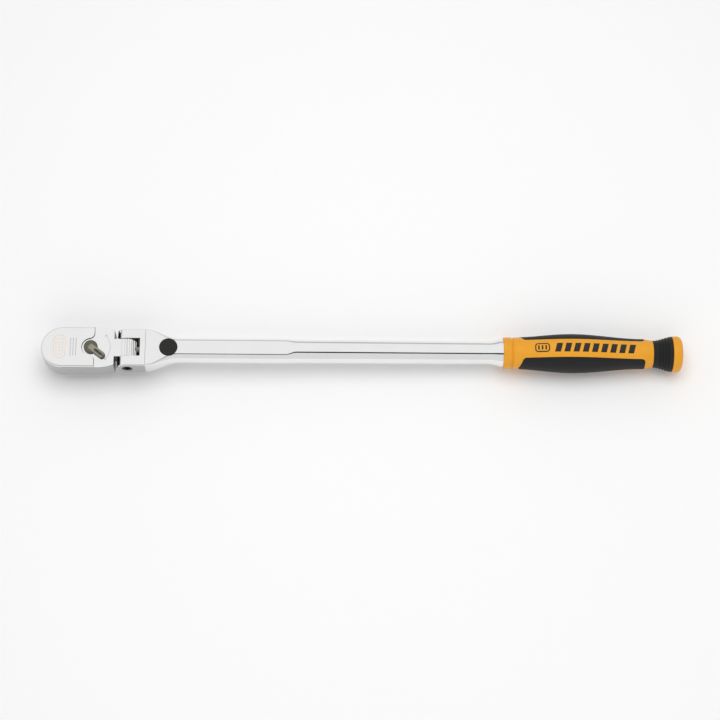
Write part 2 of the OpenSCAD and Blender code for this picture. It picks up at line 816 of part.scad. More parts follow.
module end_cap() {
    color("orange") turn_on_handle() difference() {
        end_cap_section();
        translate([0, collar_end_x - cut])
            square([spigot_core_r, spigot_end_x + cut - collar_end_x]);
    }
}

head_body();
cover_plate();
cover_screws();
thrust_ring();
pawl_pin();
drive_gear();
ball_spring();
detent_ball();
pawl();
reverse_lever();
lever_o_ring();
lever_retaining_ring();
plunger_spring();
lever_plunger();
handle_bar();
hinge_screw();
lock_bar();
lock_button();
lock_spring();
button_spring();
grip_core();
grip_pads();
grip_collar();
end_cap();
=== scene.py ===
"""Locking flex-head ratchet wrench: the looks of the packed frame, in metres."""

import json
import math

import bmesh
import bpy
from mathutils import Matrix, Vector


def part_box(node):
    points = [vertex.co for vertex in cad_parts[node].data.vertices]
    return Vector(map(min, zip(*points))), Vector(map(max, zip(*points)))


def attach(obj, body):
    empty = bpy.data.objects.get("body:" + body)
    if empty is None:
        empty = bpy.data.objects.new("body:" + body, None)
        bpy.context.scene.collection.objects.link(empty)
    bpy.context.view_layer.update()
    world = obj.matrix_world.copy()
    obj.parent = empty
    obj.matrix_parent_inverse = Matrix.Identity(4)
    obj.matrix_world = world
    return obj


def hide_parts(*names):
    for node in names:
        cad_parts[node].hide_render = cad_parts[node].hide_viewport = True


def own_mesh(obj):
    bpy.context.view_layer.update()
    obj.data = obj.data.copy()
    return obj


bl_info = {
    "name": "Ratchet Wrench Finish",
    "version": (1, 0, 0),
    "blender": (4, 5, 0),
    "location": "3D View > Sidebar > Wrench",
    "description": "Builds the finished meshes, materials and stage of a flex-head ratchet wrench",
    "category": "Object",
}

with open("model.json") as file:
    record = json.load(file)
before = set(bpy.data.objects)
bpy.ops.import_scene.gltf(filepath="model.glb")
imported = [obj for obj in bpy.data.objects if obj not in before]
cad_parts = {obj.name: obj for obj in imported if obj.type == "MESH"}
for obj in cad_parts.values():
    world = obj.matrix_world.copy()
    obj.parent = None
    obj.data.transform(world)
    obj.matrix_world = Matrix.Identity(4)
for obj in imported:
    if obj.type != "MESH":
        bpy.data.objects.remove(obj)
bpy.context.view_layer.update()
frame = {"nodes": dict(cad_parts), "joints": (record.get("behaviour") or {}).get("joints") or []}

MM = 0.001


# ---- Places and sizes taken from the frame ----

def centre(node):
    """Middle of a CAD node's box."""
    low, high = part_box(node)
    return (low + high) / 2


def joint_named(name):
    """A joint's row in the frame."""
    for joint in frame["joints"]:
        if joint["name"] == name:
            return joint
    raise ValueError(f"the frame has no joint named {name}")


def joint_at(name):
    """Position of a joint in the row frame."""
    return Vector(joint_named(name)["pos_m"])


HINGE = joint_at("flex_hinge")
LEVER = joint_at("lever_flip")
AXIS_Z = HINGE.z
HEAD_LOW, HEAD_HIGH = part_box("head_body")
BAR_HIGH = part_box("handle_bar")[1]
CORE_LOW, CORE_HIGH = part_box("grip_core")
PAD_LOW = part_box("grip_pads")[0]
COLLAR_LOW, COLLAR_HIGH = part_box("grip_collar")
CAP_LOW, CAP_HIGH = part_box("end_cap")
BUTTON_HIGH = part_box("lock_button")[1]
GEAR_LOW, GEAR_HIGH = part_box("drive_gear")
LEVER_LOW, LEVER_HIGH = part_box("reverse_lever")

NOSE_R = HEAD_HIGH.y
TOP_Z = AXIS_Z + 9 * MM
PLATEAU_Z = TOP_Z - 1.4 * MM
BOTTOM_Z = HEAD_LOW.z
TAPER_X = 33 * MM
SHOULDER_X = 48.7 * MM
SHOULDER_HALF = 17.5 * MM
TONGUE_HALF = 8.85 * MM
TONGUE_R = HEAD_HIGH.x - HINGE.x
YOKE_HALF = BAR_HIGH.y
YOKE_R = 9.85 * MM
EAR_END_X = 78.3 * MM
SLOT_END_X = 73.1 * MM
NECK_END_X = 110 * MM
FORGED_END_X = 211 * MM
ROUND_X = 222 * MM
FLARE_X = 405 * MM
GRIP_X = CORE_LOW.x
SHAFT_R1 = 11.4 * MM
SHAFT_R2 = 10.9 * MM
FORGED_HALF_W = 11.8 * MM
FORGED_HALF_T = 9.95 * MM
FLARE_R = 13.3 * MM
RING_R = 15 * MM
RING_END_X = 427 * MM
BELLY_X = 484 * MM
BELLY_R = CORE_HIGH.z - AXIS_Z
TAIL_X = 552 * MM
TAIL_R = 14.2 * MM
GRIP_END_X = COLLAR_LOW.x
GRIP_END_R = 12.7 * MM
SPINE_HALF = 8.8 * MM
LEVER_BORE_R = 4.6 * MM
BUTTON_X = 100 * MM

# The bar's tang in the core, the core's stub in the collar and cap, the angle a pad covers as an arc
# length, and how much of a half width a rounded corner may take.
CORE_BORE_R = 9.05 * MM
STUB_R = 10 * MM
STUB_BORE_R = 10.05 * MM
PAD_WIDTH = 17 * MM
ROUND = 0.999

LEVER_REST = math.radians(-38)
LOCK_PITCH = math.radians(15)


def ease(t):
    """Blend from 0 to 1 with level ends."""
    return (1 - math.cos(math.pi * min(1, max(0, t)))) / 2


def mix(a, b, t):
    """The value a share t of the way from a to b."""
    return a + (b - a) * t


# ---- Colours and nodes ----

def linear(hex_colour):
    """An sRGB hex colour as linear red, green, blue and alpha."""
    def channel(value):
        return value / 12.92 if value <= 0.04045 else ((value + 0.055) / 1.055) ** 2.4
    parts = [int(hex_colour[i:i + 2], 16) / 255 for i in (1, 3, 5)]
    return (*[channel(part) for part in parts], 1)


def add_node(tree, kind, settings=None, inputs=None):
    """Adds a node. An input's value is a number or colour, or a socket to link from."""
    made = tree.nodes.new(kind)
    for name, value in (settings or {}).items():
        setattr(made, name, value)
    for name, value in (inputs or {}).items():
        if isinstance(value, bpy.types.NodeSocket):
            tree.links.new(value, made.inputs[name])
        else:
            made.inputs[name].default_value = value
    return made


def start_material(name):
    """An empty material with its Principled shader and its object coordinates in metres."""
    made = bpy.data.materials.new(name)
    made.use_nodes = True
    tree = made.node_tree
    tree.nodes.clear()
    shader = add_node(tree, "ShaderNodeBsdfPrincipled")
    add_node(tree, "ShaderNodeOutputMaterial", inputs={"Surface": shader.outputs["BSDF"]})
    place = add_node(tree, "ShaderNodeTexCoord").outputs["Object"]
    return made, tree, shader, place


def noise(tree, place, size, detail=2.0, stretch=(1, 1, 1)):
    """Noise whose blotches are about size metres across, drawn out along an axis by stretch."""
    scaled = add_node(tree, "ShaderNodeMapping", {"vector_type": "POINT"}, {
        "Vector": place, "Scale": tuple(1 / (size * s) for s in stretch)})
    return add_node(tree, "ShaderNodeTexNoise", inputs={
        "Vector": scaled.outputs["Vector"], "Scale": 1.0, "Detail": detail}).outputs["Fac"]


def spread(tree, value, low, high, from_low=0.3, from_high=0.7):
    """Maps a noise value to a range."""
    return add_node(tree, "ShaderNodeMapRange", inputs={
        "Value": value, "From Min": from_low, "From Max": from_high,
        "To Min": low, "To Max": high}).outputs["Result"]


def blend_colours(tree, factor, first, second):
    """A colour between two others; each of them, like the factor, is a value or a socket."""
    return add_node(tree, "ShaderNodeMix", {"data_type": "RGBA"}, {
        0: factor, 6: first, 7: second}).outputs[2]


def product(tree, first, second):
    """The product of two values or sockets."""
    return add_node(tree, "ShaderNodeMath", {"operation": "MULTIPLY"}, {
        0: first, 1: second}).outputs[0]


def bump(tree, height, depth, normal=None):
    """Turns a 0 to 1 height into relief of that depth in metres."""
    inputs = {"Height": height, "Strength": 1.0, "Distance": depth}
    if normal is not None:
        inputs["Normal"] = normal
    return add_node(tree, "ShaderNodeBump", inputs=inputs).outputs["Normal"]


def link(tree, socket_from, shader, name):
    """Feeds a socket into one of the shader's named inputs."""
    tree.links.new(socket_from, shader.inputs[name])


# ---- Materials ----

def grained(name, grain, colours, gloss, relief=0.0, inputs=None):
    """A maker of a material whose colour, gloss and relief all follow one noise. The grain is that
    noise's size, detail and stretch; inputs are the shader's other values by name."""
    def make():
        made, tree, shader, place = start_material(name)
        speck = noise(tree, place, *grain)
        link(tree, blend_colours(tree, speck, *map(linear, colours)), shader, "Base Color")
        link(tree, spread(tree, speck, *gloss), shader, "Roughness")
        if relief:
            link(tree, bump(tree, speck, relief), shader, "Normal")
        for key, value in (inputs or {}).items():
            shader.inputs[key].default_value = value
        return made
    return make


METAL = {"Metallic": 1.0}

# Chrome over the forging's sides and underside: belt-finished, so a softer shine than the top's; its greyer
# colour is painted shade.
shaded_side_chrome = grained("belt_finished_chrome_painted_shade", (0.35 * MM, 3, (12, 1, 1)), ("#ABACAB", "#BDBEBD"),
                      (0.16, 0.28), 0.002 * MM, METAL)

# Chrome deep in slots, pockets and grooves and on the yoke's ear tips: dull where the buffing wheel never
# reached, and near black as painted shade, with a painted dark reflection on the ear tips.
shade_painted_chrome = grained("dull_chrome_with_painted_shade", (1.5 * MM, 3), ("#3B3B3A", "#5C5C5A"),
                        (0.3, 0.45), 0.01 * MM, METAL)

# Satin chrome on the drive and its cover: blasted before plating, so grey-white and softly blurred.
satin_chrome = grained("satin_chrome_plate", (0.4 * MM, 3), ("#B9BBBA", "#CDCFCE"),
                       (0.24, 0.36), 0.004 * MM, METAL)

# Drawn spring steel: smooth, slightly blue-grey, with faint draw marks.
spring_wire = grained("drawn_spring_wire", (0.3 * MM, 2), ("#8C9197", "#A4A9AE"), (0.18, 0.3), 0.0, METAL)

# Black oxide on alloy steel: an oily near-black skin that wears to grey.
black_oxide = grained("black_oxide_steel", (1.2 * MM, 4), ("#17181A", "#34363A"),
                      (0.32, 0.5), 0.004 * MM, METAL)

# Sintered bronze: warm brown metal with open pores.
sintered_bronze = grained("sintered_bronze", (0.2 * MM, 3), ("#6E5634", "#A98652"),
                          (0.3, 0.55), 0.01 * MM, METAL)

# Moulded nitrile rubber: black, dull, very finely pitted.
nitrile_rubber = grained("moulded_nitrile", (0.15 * MM, 3), ("#0E0E0E", "#1D1D1D"), (0.55, 0.75))

# Glass-filled nylon, moulded in a spark-eroded tool: warm black with a fine even grain.
black_nylon = grained("moulded_black_nylon", (0.25 * MM, 4), ("#121210", "#1C1C19"),
                      (0.42, 0.58), 0.015 * MM, {"Specular IOR Level": 0.35})


def polished_chrome():
    """Bright chrome plate over polished forged steel: a near mirror with the forging's faint
    waviness under it and hair-fine wiping marks that open the gloss a little."""
    made, tree, shader, place = start_material("polished_chrome_plate")
    shader.inputs["Metallic"].default_value = 1.0
    tint = blend_colours(tree, noise(tree, place, 30 * MM), linear("#F0F1F0"), linear("#EAEBEA"))
    link(tree, tint, shader, "Base Color")
    hair = noise(tree, place, 0.5 * MM, 3, (24, 1, 1))
    link(tree, spread(tree, hair, 0.045, 0.1), shader, "Roughness")
    wave = bump(tree, noise(tree, place, 14 * MM, 1), 0.02 * MM)
    link(tree, bump(tree, hair, 0.0004 * MM, wave), shader, "Normal")
    return made


def ground_steel():
    """Hardened tool steel, surface ground and oiled: mid grey with fine parallel grinding lines."""
    made, tree, shader, place = start_material("ground_tool_steel")
    shader.inputs["Metallic"].default_value = 1.0
    lines = noise(tree, place, 0.18 * MM, 2, (1, 30, 1))
    blot = noise(tree, place, 5 * MM)
    link(tree, blend_colours(tree, blot, linear("#77766F"), linear("#8F8F8C")), shader, "Base Color")
    link(tree, spread(tree, lines, 0.22, 0.4), shader, "Roughness")
    link(tree, bump(tree, lines, 0.003 * MM), shader, "Normal")
    return made


def plated_casting():
    """Investment-cast steel, tumbled and plated in a warm dark nickel: a soft sheen over the
    casting's fine grain, dark in its hollows and rubbed paler on its raised thumb ridge."""
    made, tree, shader, place = start_material("dark_nickel_casting")
    shader.inputs["Metallic"].default_value = 1.0
    grain = noise(tree, place, 0.35 * MM, 4)
    height = add_node(tree, "ShaderNodeSeparateXYZ", inputs={"Vector": place}).outputs["Z"]
    # Paler towards the top of the lever: a painted highlight on the raised ridge.
    paler_share = spread(tree, height, 0.0, 1.0, LEVER_HIGH.z - 0.35 * MM, LEVER_HIGH.z - 0.05 * MM)
    skin = blend_colours(tree, grain, linear("#5C594F"), linear("#757266"))
    lit_top_colour = blend_colours(tree, grain, linear("#8E8A7C"), linear("#A8A495"))
    link(tree, blend_colours(tree, paler_share, skin, lit_top_colour), shader, "Base Color")
    link(tree, spread(tree, grain, 0.26, 0.44), shader, "Roughness")
    link(tree, bump(tree, grain, 0.02 * MM), shader, "Normal")
    return made


def orange_polypropylene(colour):
    """Polypropylene, injection moulded in a spark-eroded tool: warm orange with a soft broad sheen,
    a slight mottle from the pigment, and a fine pebbling drawn coarse enough to show."""
    made, tree, shader, place = start_material("moulded_orange_polypropylene")
    mottle = noise(tree, place, 9 * MM, 3)
    pebble = noise(tree, place, 0.7 * MM, 5)
    deeper = (colour[0] * 0.9, colour[1] * 0.84, colour[2] * 0.7, 1)
    skin = blend_colours(tree, mottle, deeper, tuple(colour))
    # The pebbling's hollows turn darker: painted shade.
    hollow = tuple(c * 0.88 for c in colour[:3]) + (1,)
    shade = product(tree, spread(tree, pebble, 1.0, 0.0), 0.4)
    link(tree, blend_colours(tree, shade, skin, hollow), shader, "Base Color")
    link(tree, spread(tree, pebble, 0.34, 0.52), shader, "Roughness")
    link(tree, bump(tree, pebble, 0.035 * MM), shader, "Normal")
    shader.inputs["IOR"].default_value = 1.49
    shader.inputs["Specular IOR Level"].default_value = 0.4
    return made


def black_elastomer(colour):
    """Thermoplastic elastomer, overmoulded: a matt black, greyer on its high spots and where a palm
    rubs it, with the mould's eroded grain drawn about twice as coarse so that it shows."""
    made, tree, shader, place = start_material("overmoulded_black_elastomer")
    grain = noise(tree, place, 0.8 * MM, 5)
    paler_share = noise(tree, place, 14 * MM, 3)
    paler = tuple(min(1, c * 2.2 + 0.008) for c in colour[:3]) + (1,)
    dusty = tuple(min(1, c * 1.5 + 0.004) for c in colour[:3]) + (1,)
    skin = blend_colours(tree, paler_share, tuple(colour), dusty)
    high_spot = spread(tree, grain, 0.0, 0.7, 0.45, 0.7)
    link(tree, blend_colours(tree, high_spot, skin, paler), shader, "Base Color")
    link(tree, spread(tree, grain, 0.48, 0.72), shader, "Roughness")
    link(tree, bump(tree, grain, 0.09 * MM), shader, "Normal")
    shader.inputs["Specular IOR Level"].default_value = 0.3
    return made


def floor_card():
    """Matt white card: barely any colour, a very faint paper tooth."""
    made, tree, shader, place = start_material("matt_white_card")
    tooth = noise(tree, place, 3 * MM, 3)
    link(tree, blend_colours(tree, tooth, linear("#F8F8F8"), linear("#FAFAFA")), shader, "Base Color")
    shader.inputs["Roughness"].default_value = 0.85
    shader.inputs["Specular IOR Level"].default_value = 0.2
    return made


MATERIALS = {}


def material(maker, *arguments):
    """The material that a function makes, made once."""
    if maker not in MATERIALS:
        MATERIALS[maker] = maker(*arguments)
    return MATERIALS[maker]


# ---- Meshes ----

def into_scene(name, data):
    """A new object of the scene with the given mesh, light or camera data."""
    made = bpy.data.objects.new(name, data)
    bpy.context.scene.collection.objects.link(made)
    return made


def new_object(name, points, faces):
    """A mesh object at the origin, with its normals pointing outwards."""
    mesh = bpy.data.meshes.new(name)
    mesh.from_pydata([tuple(p) for p in points], [], faces)
    made = into_scene(name, mesh)
    tidy(made)
    return made


def tidy(made):
    """Merges doubles and turns every face outwards."""
    work = bmesh.new()
    work.from_mesh(made.data)
    bmesh.ops.remove_doubles(work, verts=work.verts, dist=1e-7)
    bmesh.ops.recalc_face_normals(work, faces=work.faces)
    work.to_mesh(made.data)
    work.free()


def finish_piece(made, body, look, replaced=(), sharp=35):
    """Shades a piece, gives it its material and joins it to its CAD body."""
    made.data.shade_smooth()
    made.data.set_sharp_from_angle(angle=math.radians(sharp))
    made.data.materials.clear()
    made.data.materials.append(look)
    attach(made, body)
    if replaced:
        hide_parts(*replaced)
    return made


def loft(name, rings):
    """A closed skin through rings of equally many points, with a flat face at each end."""
    count = len(rings[0])
    points = [p for ring in rings for p in ring]
    faces = []
    for i in range(len(rings) - 1):
        for j in range(count):
            k = (j + 1) % count
            faces.append((i * count + j, i * count + k, (i + 1) * count + k, (i + 1) * count + j))
    faces.append(tuple(range(count - 1, -1, -1)))
    last = (len(rings) - 1) * count
    faces.append(tuple(range(last, last + count)))
    return new_object(name, points, faces)


def revolve(name, profile, place, sides=96):
    """Turns a profile of (radius, along) points; place gives a point from along, across and up."""
    points, faces, rows = [], [], []
    for radius, along in profile:
        if radius < 1e-7:
            rows.append([len(points)])
            points.append(place(along, 0, 0))
            continue
        rows.append(list(range(len(points), len(points) + sides)))
        for j in range(sides):
            a = 2 * math.pi * j / sides
            points.append(place(along, radius * math.cos(a), radius * math.sin(a)))
    for row, after in zip(rows, rows[1:] + rows[:1]):
        if len(row) == 1 and len(after) == 1:
            continue
        for j in range(sides):
            k = (j + 1) % sides
            corners = [row[j % len(row)], row[k % len(row)], after[k % len(after)], after[j % len(after)]]
            faces.append(tuple(dict.fromkeys(corners)))
    return new_object(name, points, faces)


def on_handle(along, across, up):
    """A point from its distance along the handle's axis and its place across it."""
    return (along, across, AXIS_Z + up)


def upright(x, y):
    """A placing function for a piece turned about a vertical axis at x, y."""
    return lambda along, across, up: (x + across, y + up, along)


def across_hinge(along, across, up):
    """A point of a piece turned about the hinge's axis."""
    return (HINGE.x + across, along, AXIS_Z + up)


def arc(cx, cy, radius, start, stop, steps):
    """Points along an arc, angles in degrees."""
    angles = [math.radians(mix(start, stop, i / steps)) for i in range(steps + 1)]
    return [(cx + radius * math.cos(a), cy + radius * math.sin(a)) for a in angles]


def prism(name, outline, z0, z1):
    """An upright prism of a plan outline."""
    return loft(name, [[(x, y, z) for x, y in outline] for z in (z0, z1)])


def offset_outline(outline, distance):
    """Moves each point of a counter-clockwise outline outwards."""
    moved = []
    count = len(outline)
    for i, (x, y) in enumerate(outline):
        before, after = outline[i - 1], outline[(i + 1) % count]
        along = Vector((after[0] - before[0], after[1] - before[1])).normalized()
        moved.append((x + along.y * distance, y - along.x * distance))
    return moved


def combine(base, tools, operation="DIFFERENCE"):
    """Carves the tools out of base, or joins them to it, and removes them."""
    for tool in tools:
        step = base.modifiers.new("combine", "BOOLEAN")
        step.operation = operation
        step.solver = "EXACT"
        step.object = tool
        apply_modifiers(base)
        bpy.data.objects.remove(tool)
    return base


def apply_modifiers(made):
    """Makes the evaluated mesh the object's own and drops the modifiers."""
    depsgraph = bpy.context.evaluated_depsgraph_get()
    result = bpy.data.meshes.new_from_object(made.evaluated_get(depsgraph))
    made.modifiers.clear()
    old = made.data
    made.data = result
    result.name = made.name
    bpy.data.meshes.remove(old)


def dress_faces(made, look, inside):
    """Gives another material to the faces that a test picks by their centre and normal."""
    made.data.materials.append(look)
    last = len(made.data.materials) - 1
    for face in made.data.polygons:
        if inside(face.center, face.normal):
            face.material_index = last


def even_normals(made):
    """Lets broad flat faces keep their own normals beside narrow rounded ones."""
    step = made.modifiers.new("even_normals", "WEIGHTED_NORMAL")
    step.keep_sharp = True
    step.weight = 100
    return made


# ---- Head ----

TAPER_LENGTH = SHOULDER_X - TAPER_X
TAPER_IN = NOSE_R - SHOULDER_HALF
TAPER_R = (TAPER_LENGTH ** 2 + TAPER_IN ** 2) / (2 * TAPER_IN)


def head_outline(inset):
    """Plan of the head, counter-clockwise, drawn in by inset."""
    end_x = SHOULDER_X - inset * 0.35
    corner = 0.9 * MM
    steps = 16

    def side_y(x):
        return math.sqrt((TAPER_R - inset) ** 2 - (x - TAPER_X) ** 2) - TAPER_R + NOSE_R
    upper = []
    last_x = end_x - corner
    for i in range(steps + 1):
        x = mix(TAPER_X, last_x, i / steps)
        upper.append((x, side_y(x)))
    corner_y = side_y(last_x) - corner
    upper += reversed(arc(last_x, corner_y, corner, 0, 80, 5))
    nose = arc(0, 0, NOSE_R - inset, 90, 270, 96)
    lower = [(x, -y) for x, y in upper]
    return nose + lower + list(reversed(upper))


def head_blank():
    """The head with its long edges rounded."""
    edge = 2.6 * MM
    steps = 10
    rings = []
    for i in range(steps + 1):
        a = math.pi / 2 * i / steps
        rings.append((edge * (1 - math.sin(a)), BOTTOM_Z + edge * (1 - math.cos(a))))
    for i in range(steps + 1):
        a = math.pi / 2 * i / steps
        rings.append((edge * (1 - math.cos(a)), TOP_Z - edge * (1 - math.sin(a))))
    return loft("head_shell", [[(x, y, z) for x, y in head_outline(inset)] for inset, z in rings])


def plateau_outline():
    """Plan of the lowered area round the lever."""
    step_x = LEVER.x + 3.2 * MM
    swing_r = 8.8 * MM
    blend_r = 5 * MM
    blend_x = step_x - blend_r
    blend_y = math.sqrt((swing_r + blend_r) ** 2 - (blend_x - LEVER.x) ** 2)
    meet = math.degrees(math.atan2(blend_y, blend_x - LEVER.x))
    far = NOSE_R + 2 * MM
    end_x = SHOULDER_X + 2 * MM
    upper_blend = arc(blend_x, blend_y, blend_r, 0, meet - 180, 14)
    swing = arc(LEVER.x, 0, swing_r, meet, 360 - meet, 48)
    lower_blend = [(x, -y) for x, y in reversed(upper_blend)]
    return [(end_x, far), (step_x, far)] + upper_blend + swing[1:-1] + lower_blend + [
        (step_x, -far), (end_x, -far)]


def tongue_piece():
    """The flex tongue: a neck running into a cylinder with lock grooves along it."""
    grooves, groove_depth = 15, 0.7 * MM

    def radius(a):
        from_groove = (a + LOCK_PITCH / 2) % LOCK_PITCH - LOCK_PITCH / 2
        in_range = abs(a) < LOCK_PITCH * grooves / 2
        depth = groove_depth - abs(from_groove) * TONGUE_R
        return TONGUE_R - max(0, depth) if in_range else TONGUE_R
    neck_half = PLATEAU_Z - AXIS_Z - 0.03 * MM
    limit = math.pi - math.asin(neck_half / TONGUE_R)
    count = 540
    angles = [mix(limit, -limit, i / count) for i in range(count + 1)]
    back_x = SHOULDER_X - 2 * MM

    def ring(y, inset):
        profile = [(back_x, inset - neck_half), (back_x, neck_half - inset)]
        profile += [(HINGE.x + (radius(a) - inset) * math.cos(a), (radius(a) - inset) * math.sin(a))
                    for a in angles]
        return [(x, y, AXIS_Z + z) for x, z in profile]
    edge = 0.3 * MM
    return loft("tongue_tool", [ring(-TONGUE_HALF, edge), ring(-TONGUE_HALF + edge, 0),
                                ring(TONGUE_HALF - edge, 0), ring(TONGUE_HALF, edge)])


def plate_outline():
    """Plan of the recess that the cover plate sits in: round at the drive, square behind it."""
    plate_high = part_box("cover_plate")[1]
    play = 0.02 * MM
    corner = 6 * MM
    end_x = plate_high.x + play
    half = plate_high.y + play
    nose = arc(0, 0, half, 90, 270, 64)
    lower = arc(end_x - corner, corner - half, corner, 270, 360, 16)
    upper = arc(end_x - corner, half - corner, corner, 0, 90, 16)
    return nose + lower + upper


def round_tool(name, x, y, radius, z0, z1, sides=96):
    """An upright cylinder to carve or join with."""
    return revolve(name, [(0, z0), (radius, z0), (radius, z1), (0, z1)], upright(x, y), sides)


def build_head():
    """The forged head: its plateau with a sunk line along the step, its pockets, and the tongue."""
    head = head_blank()
    above = TOP_Z + 0.6 * MM
    groove = 0.4 * MM
    plateau = prism("plateau_tool", plateau_outline(), PLATEAU_Z, above)
    step_line = prism("step_line_tool", plateau_outline(), PLATEAU_Z - groove, above)
    island = prism("island_tool", offset_outline(plateau_outline(), -groove), PLATEAU_Z - 2 * groove,
                   above + groove)
    combine(step_line, [island])

    pocket_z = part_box("cover_plate")[1].z
    roof_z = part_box("thrust_ring")[1].z
    spigot_top = 18 * MM
    under = BOTTOM_Z - 2 * MM
    tools = [
        plateau,
        step_line,
        prism("plate_recess", plate_outline(), under, pocket_z),
        round_tool("gear_pocket", 0, 0, GEAR_HIGH.x + 0.5 * MM, under, roof_z),
        round_tool("pawl_pocket", 11.5 * MM, 0, 14.5 * MM, under, roof_z),
        round_tool("lever_pit", LEVER.x, 0, 7.5 * MM, under, roof_z),
        round_tool("spigot_bore", 0, 0, 9.1 * MM, under, spigot_top),
        round_tool("lever_bore", LEVER.x, 0, LEVER_BORE_R, under, above + groove),
    ]
    combine(head, tools)
    combine(head, [tongue_piece()], "UNION")
    screw_r = 3.6 * MM
    bore = revolve("hinge_bore", [(0, -YOKE_HALF), (screw_r, -YOKE_HALF), (screw_r, YOKE_HALF),
                                  (0, YOKE_HALF)], across_hinge, 64)
    combine(head, [bore])
    finish_piece(head, "head", material(polished_chrome), ["head_body"], 30)

    def in_painted_shade(spot, facing):
        shoulder = SHOULDER_X - 0.3 * MM < spot.x < SHOULDER_X + 1 * MM and facing.x > 0.9
        tongue_side = spot.x > SHOULDER_X and abs(facing.y) > 0.9
        pocket = spot.z < pocket_z + 0.1 * MM and math.hypot(facing.x, facing.y) < 0.1 \
            and abs(spot.z - BOTTOM_Z) > 0.2 * MM
        step_foot = -groove * 1.1 < spot.z - PLATEAU_Z < -groove * 0.1 \
            and LEVER.x - 12 * MM < spot.x < SHOULDER_X - 1 * MM
        return shoulder or tongue_side or pocket or step_foot
    # Faces turned away from the top take the greyer side chrome: painted shade.
    dress_faces(head, material(shaded_side_chrome), lambda spot, facing: facing.z < 0.4)
    # The shoulder face, the tongue's sides, the pocket floors and the foot of the step line take the dark
    # chrome: painted shade.
    dress_faces(head, material(shade_painted_chrome), in_painted_shade)
    even_normals(head)


# ---- Handle ----

def section(x, half_w, half_t, round_y, round_z):
    """Ring of a rounded rectangle across the handle, its corners parts of ellipses."""
    ring = []
    steps = 14
    for quarter in range(4):
        side_y = 1 if quarter in (0, 3) else -1
        side_z = 1 if quarter in (0, 1) else -1
        cy, cz = side_y * (half_w - round_y), side_z * (half_t - round_z)
        for i in range(steps + 1):
            a = math.radians(90 * quarter + 90 * i / steps)
            ring.append((x, cy + round_y * math.cos(a), AXIS_Z + cz + round_z * math.sin(a)))
        turn = math.radians(90 * quarter + 90)
        next_y = (half_w - round_y) * (1 if (quarter + 1) % 4 in (0, 3) else -1)
        next_z = (half_t - round_z) * (1 if (quarter + 1) % 4 in (0, 1) else -1)
        start = Vector((cy + round_y * math.cos(turn), cz + round_z * math.sin(turn)))
        stop = Vector((next_y + round_y * math.cos(turn), next_z + round_z * math.sin(turn)))
        for i in range(1, 6):
            p = start.lerp(stop, i / 6)
            ring.append((x, p.x, AXIS_Z + p.y))
    return ring


def round_section(x, radius):
    """Ring of a circle across the handle."""
    return section(x, radius, radius, radius * ROUND, radius * ROUND)


def bar_sections():
    """Rings from the yoke's ears to the grip."""
    rings = []
    ear = 1.3 * MM
    forged_corner = 7.5 * MM
    ear_x = HINGE.x - YOKE_R
    for i in range(1, 25):
        a = math.radians(90 * i / 24)
        x = HINGE.x - YOKE_R * math.cos(a)
        half_t = YOKE_R * math.sin(a)
        edge = min(ear, half_t * 0.8)
        rings.append(section(x, YOKE_HALF, half_t, edge, edge))
    rings.insert(0, section(ear_x, YOKE_HALF - 0.2 * MM, 0.25 * MM, 0.2 * MM, 0.2 * MM))
    crease = 0.4 * MM
    rings.append(section(EAR_END_X - crease, YOKE_HALF, YOKE_R, ear, ear))
    rings.append(section(EAR_END_X, YOKE_HALF - crease * 0.5, YOKE_R - crease, ear, ear))
    for i in range(1, 31):
        t = i / 30
        x = mix(EAR_END_X, NECK_END_X, t)
        e = ease(t)
        half_w = mix(YOKE_HALF - crease * 0.5, FORGED_HALF_W, e)
        half_t = mix(YOKE_R - crease, FORGED_HALF_T, t)
        round_y = mix(ear, forged_corner, ease(t * 1.15))
        round_z = mix(ear, half_t * ROUND, ease(t * 1.1))
        rings.append(section(x, half_w, half_t, round_y, min(round_z, half_t * ROUND)))
    for i in range(1, 9):
        x = mix(NECK_END_X, FORGED_END_X, i / 8)
        rings.append(section(x, FORGED_HALF_W, FORGED_HALF_T, forged_corner, FORGED_HALF_T * ROUND))
    for i in range(1, 17):
        e = ease(i / 16)
        half_w = mix(FORGED_HALF_W, SHAFT_R1, e)
        half_t = mix(FORGED_HALF_T, SHAFT_R1, e)
        rings.append(section(mix(FORGED_END_X, ROUND_X, i / 16), half_w, half_t,
                             mix(forged_corner, half_w * ROUND, e), half_t * ROUND))
    for i in range(1, 21):
        rings.append(round_section(mix(ROUND_X, FLARE_X, i / 20), mix(SHAFT_R1, SHAFT_R2, i / 20)))
    for i in range(1, 17):
        rings.append(round_section(mix(FLARE_X, GRIP_X - 0.8 * MM, i / 16),
                                   mix(SHAFT_R2, FLARE_R, ease(i / 16))))
    tang_r = 9 * MM
    return rings + [round_section(GRIP_X - 0.1 * MM, FLARE_R), round_section(GRIP_X, tang_r),
                    round_section(BAR_HIGH.x, tang_r)]


def box_tool(name, low, high):
    """A block to carve with."""
    corners = [(low[0], low[1]), (high[0], low[1]), (high[0], high[1]), (low[0], high[1])]
    return loft(name, [[(x, y, z) for x, y in corners] for z in (low[2], high[2])])


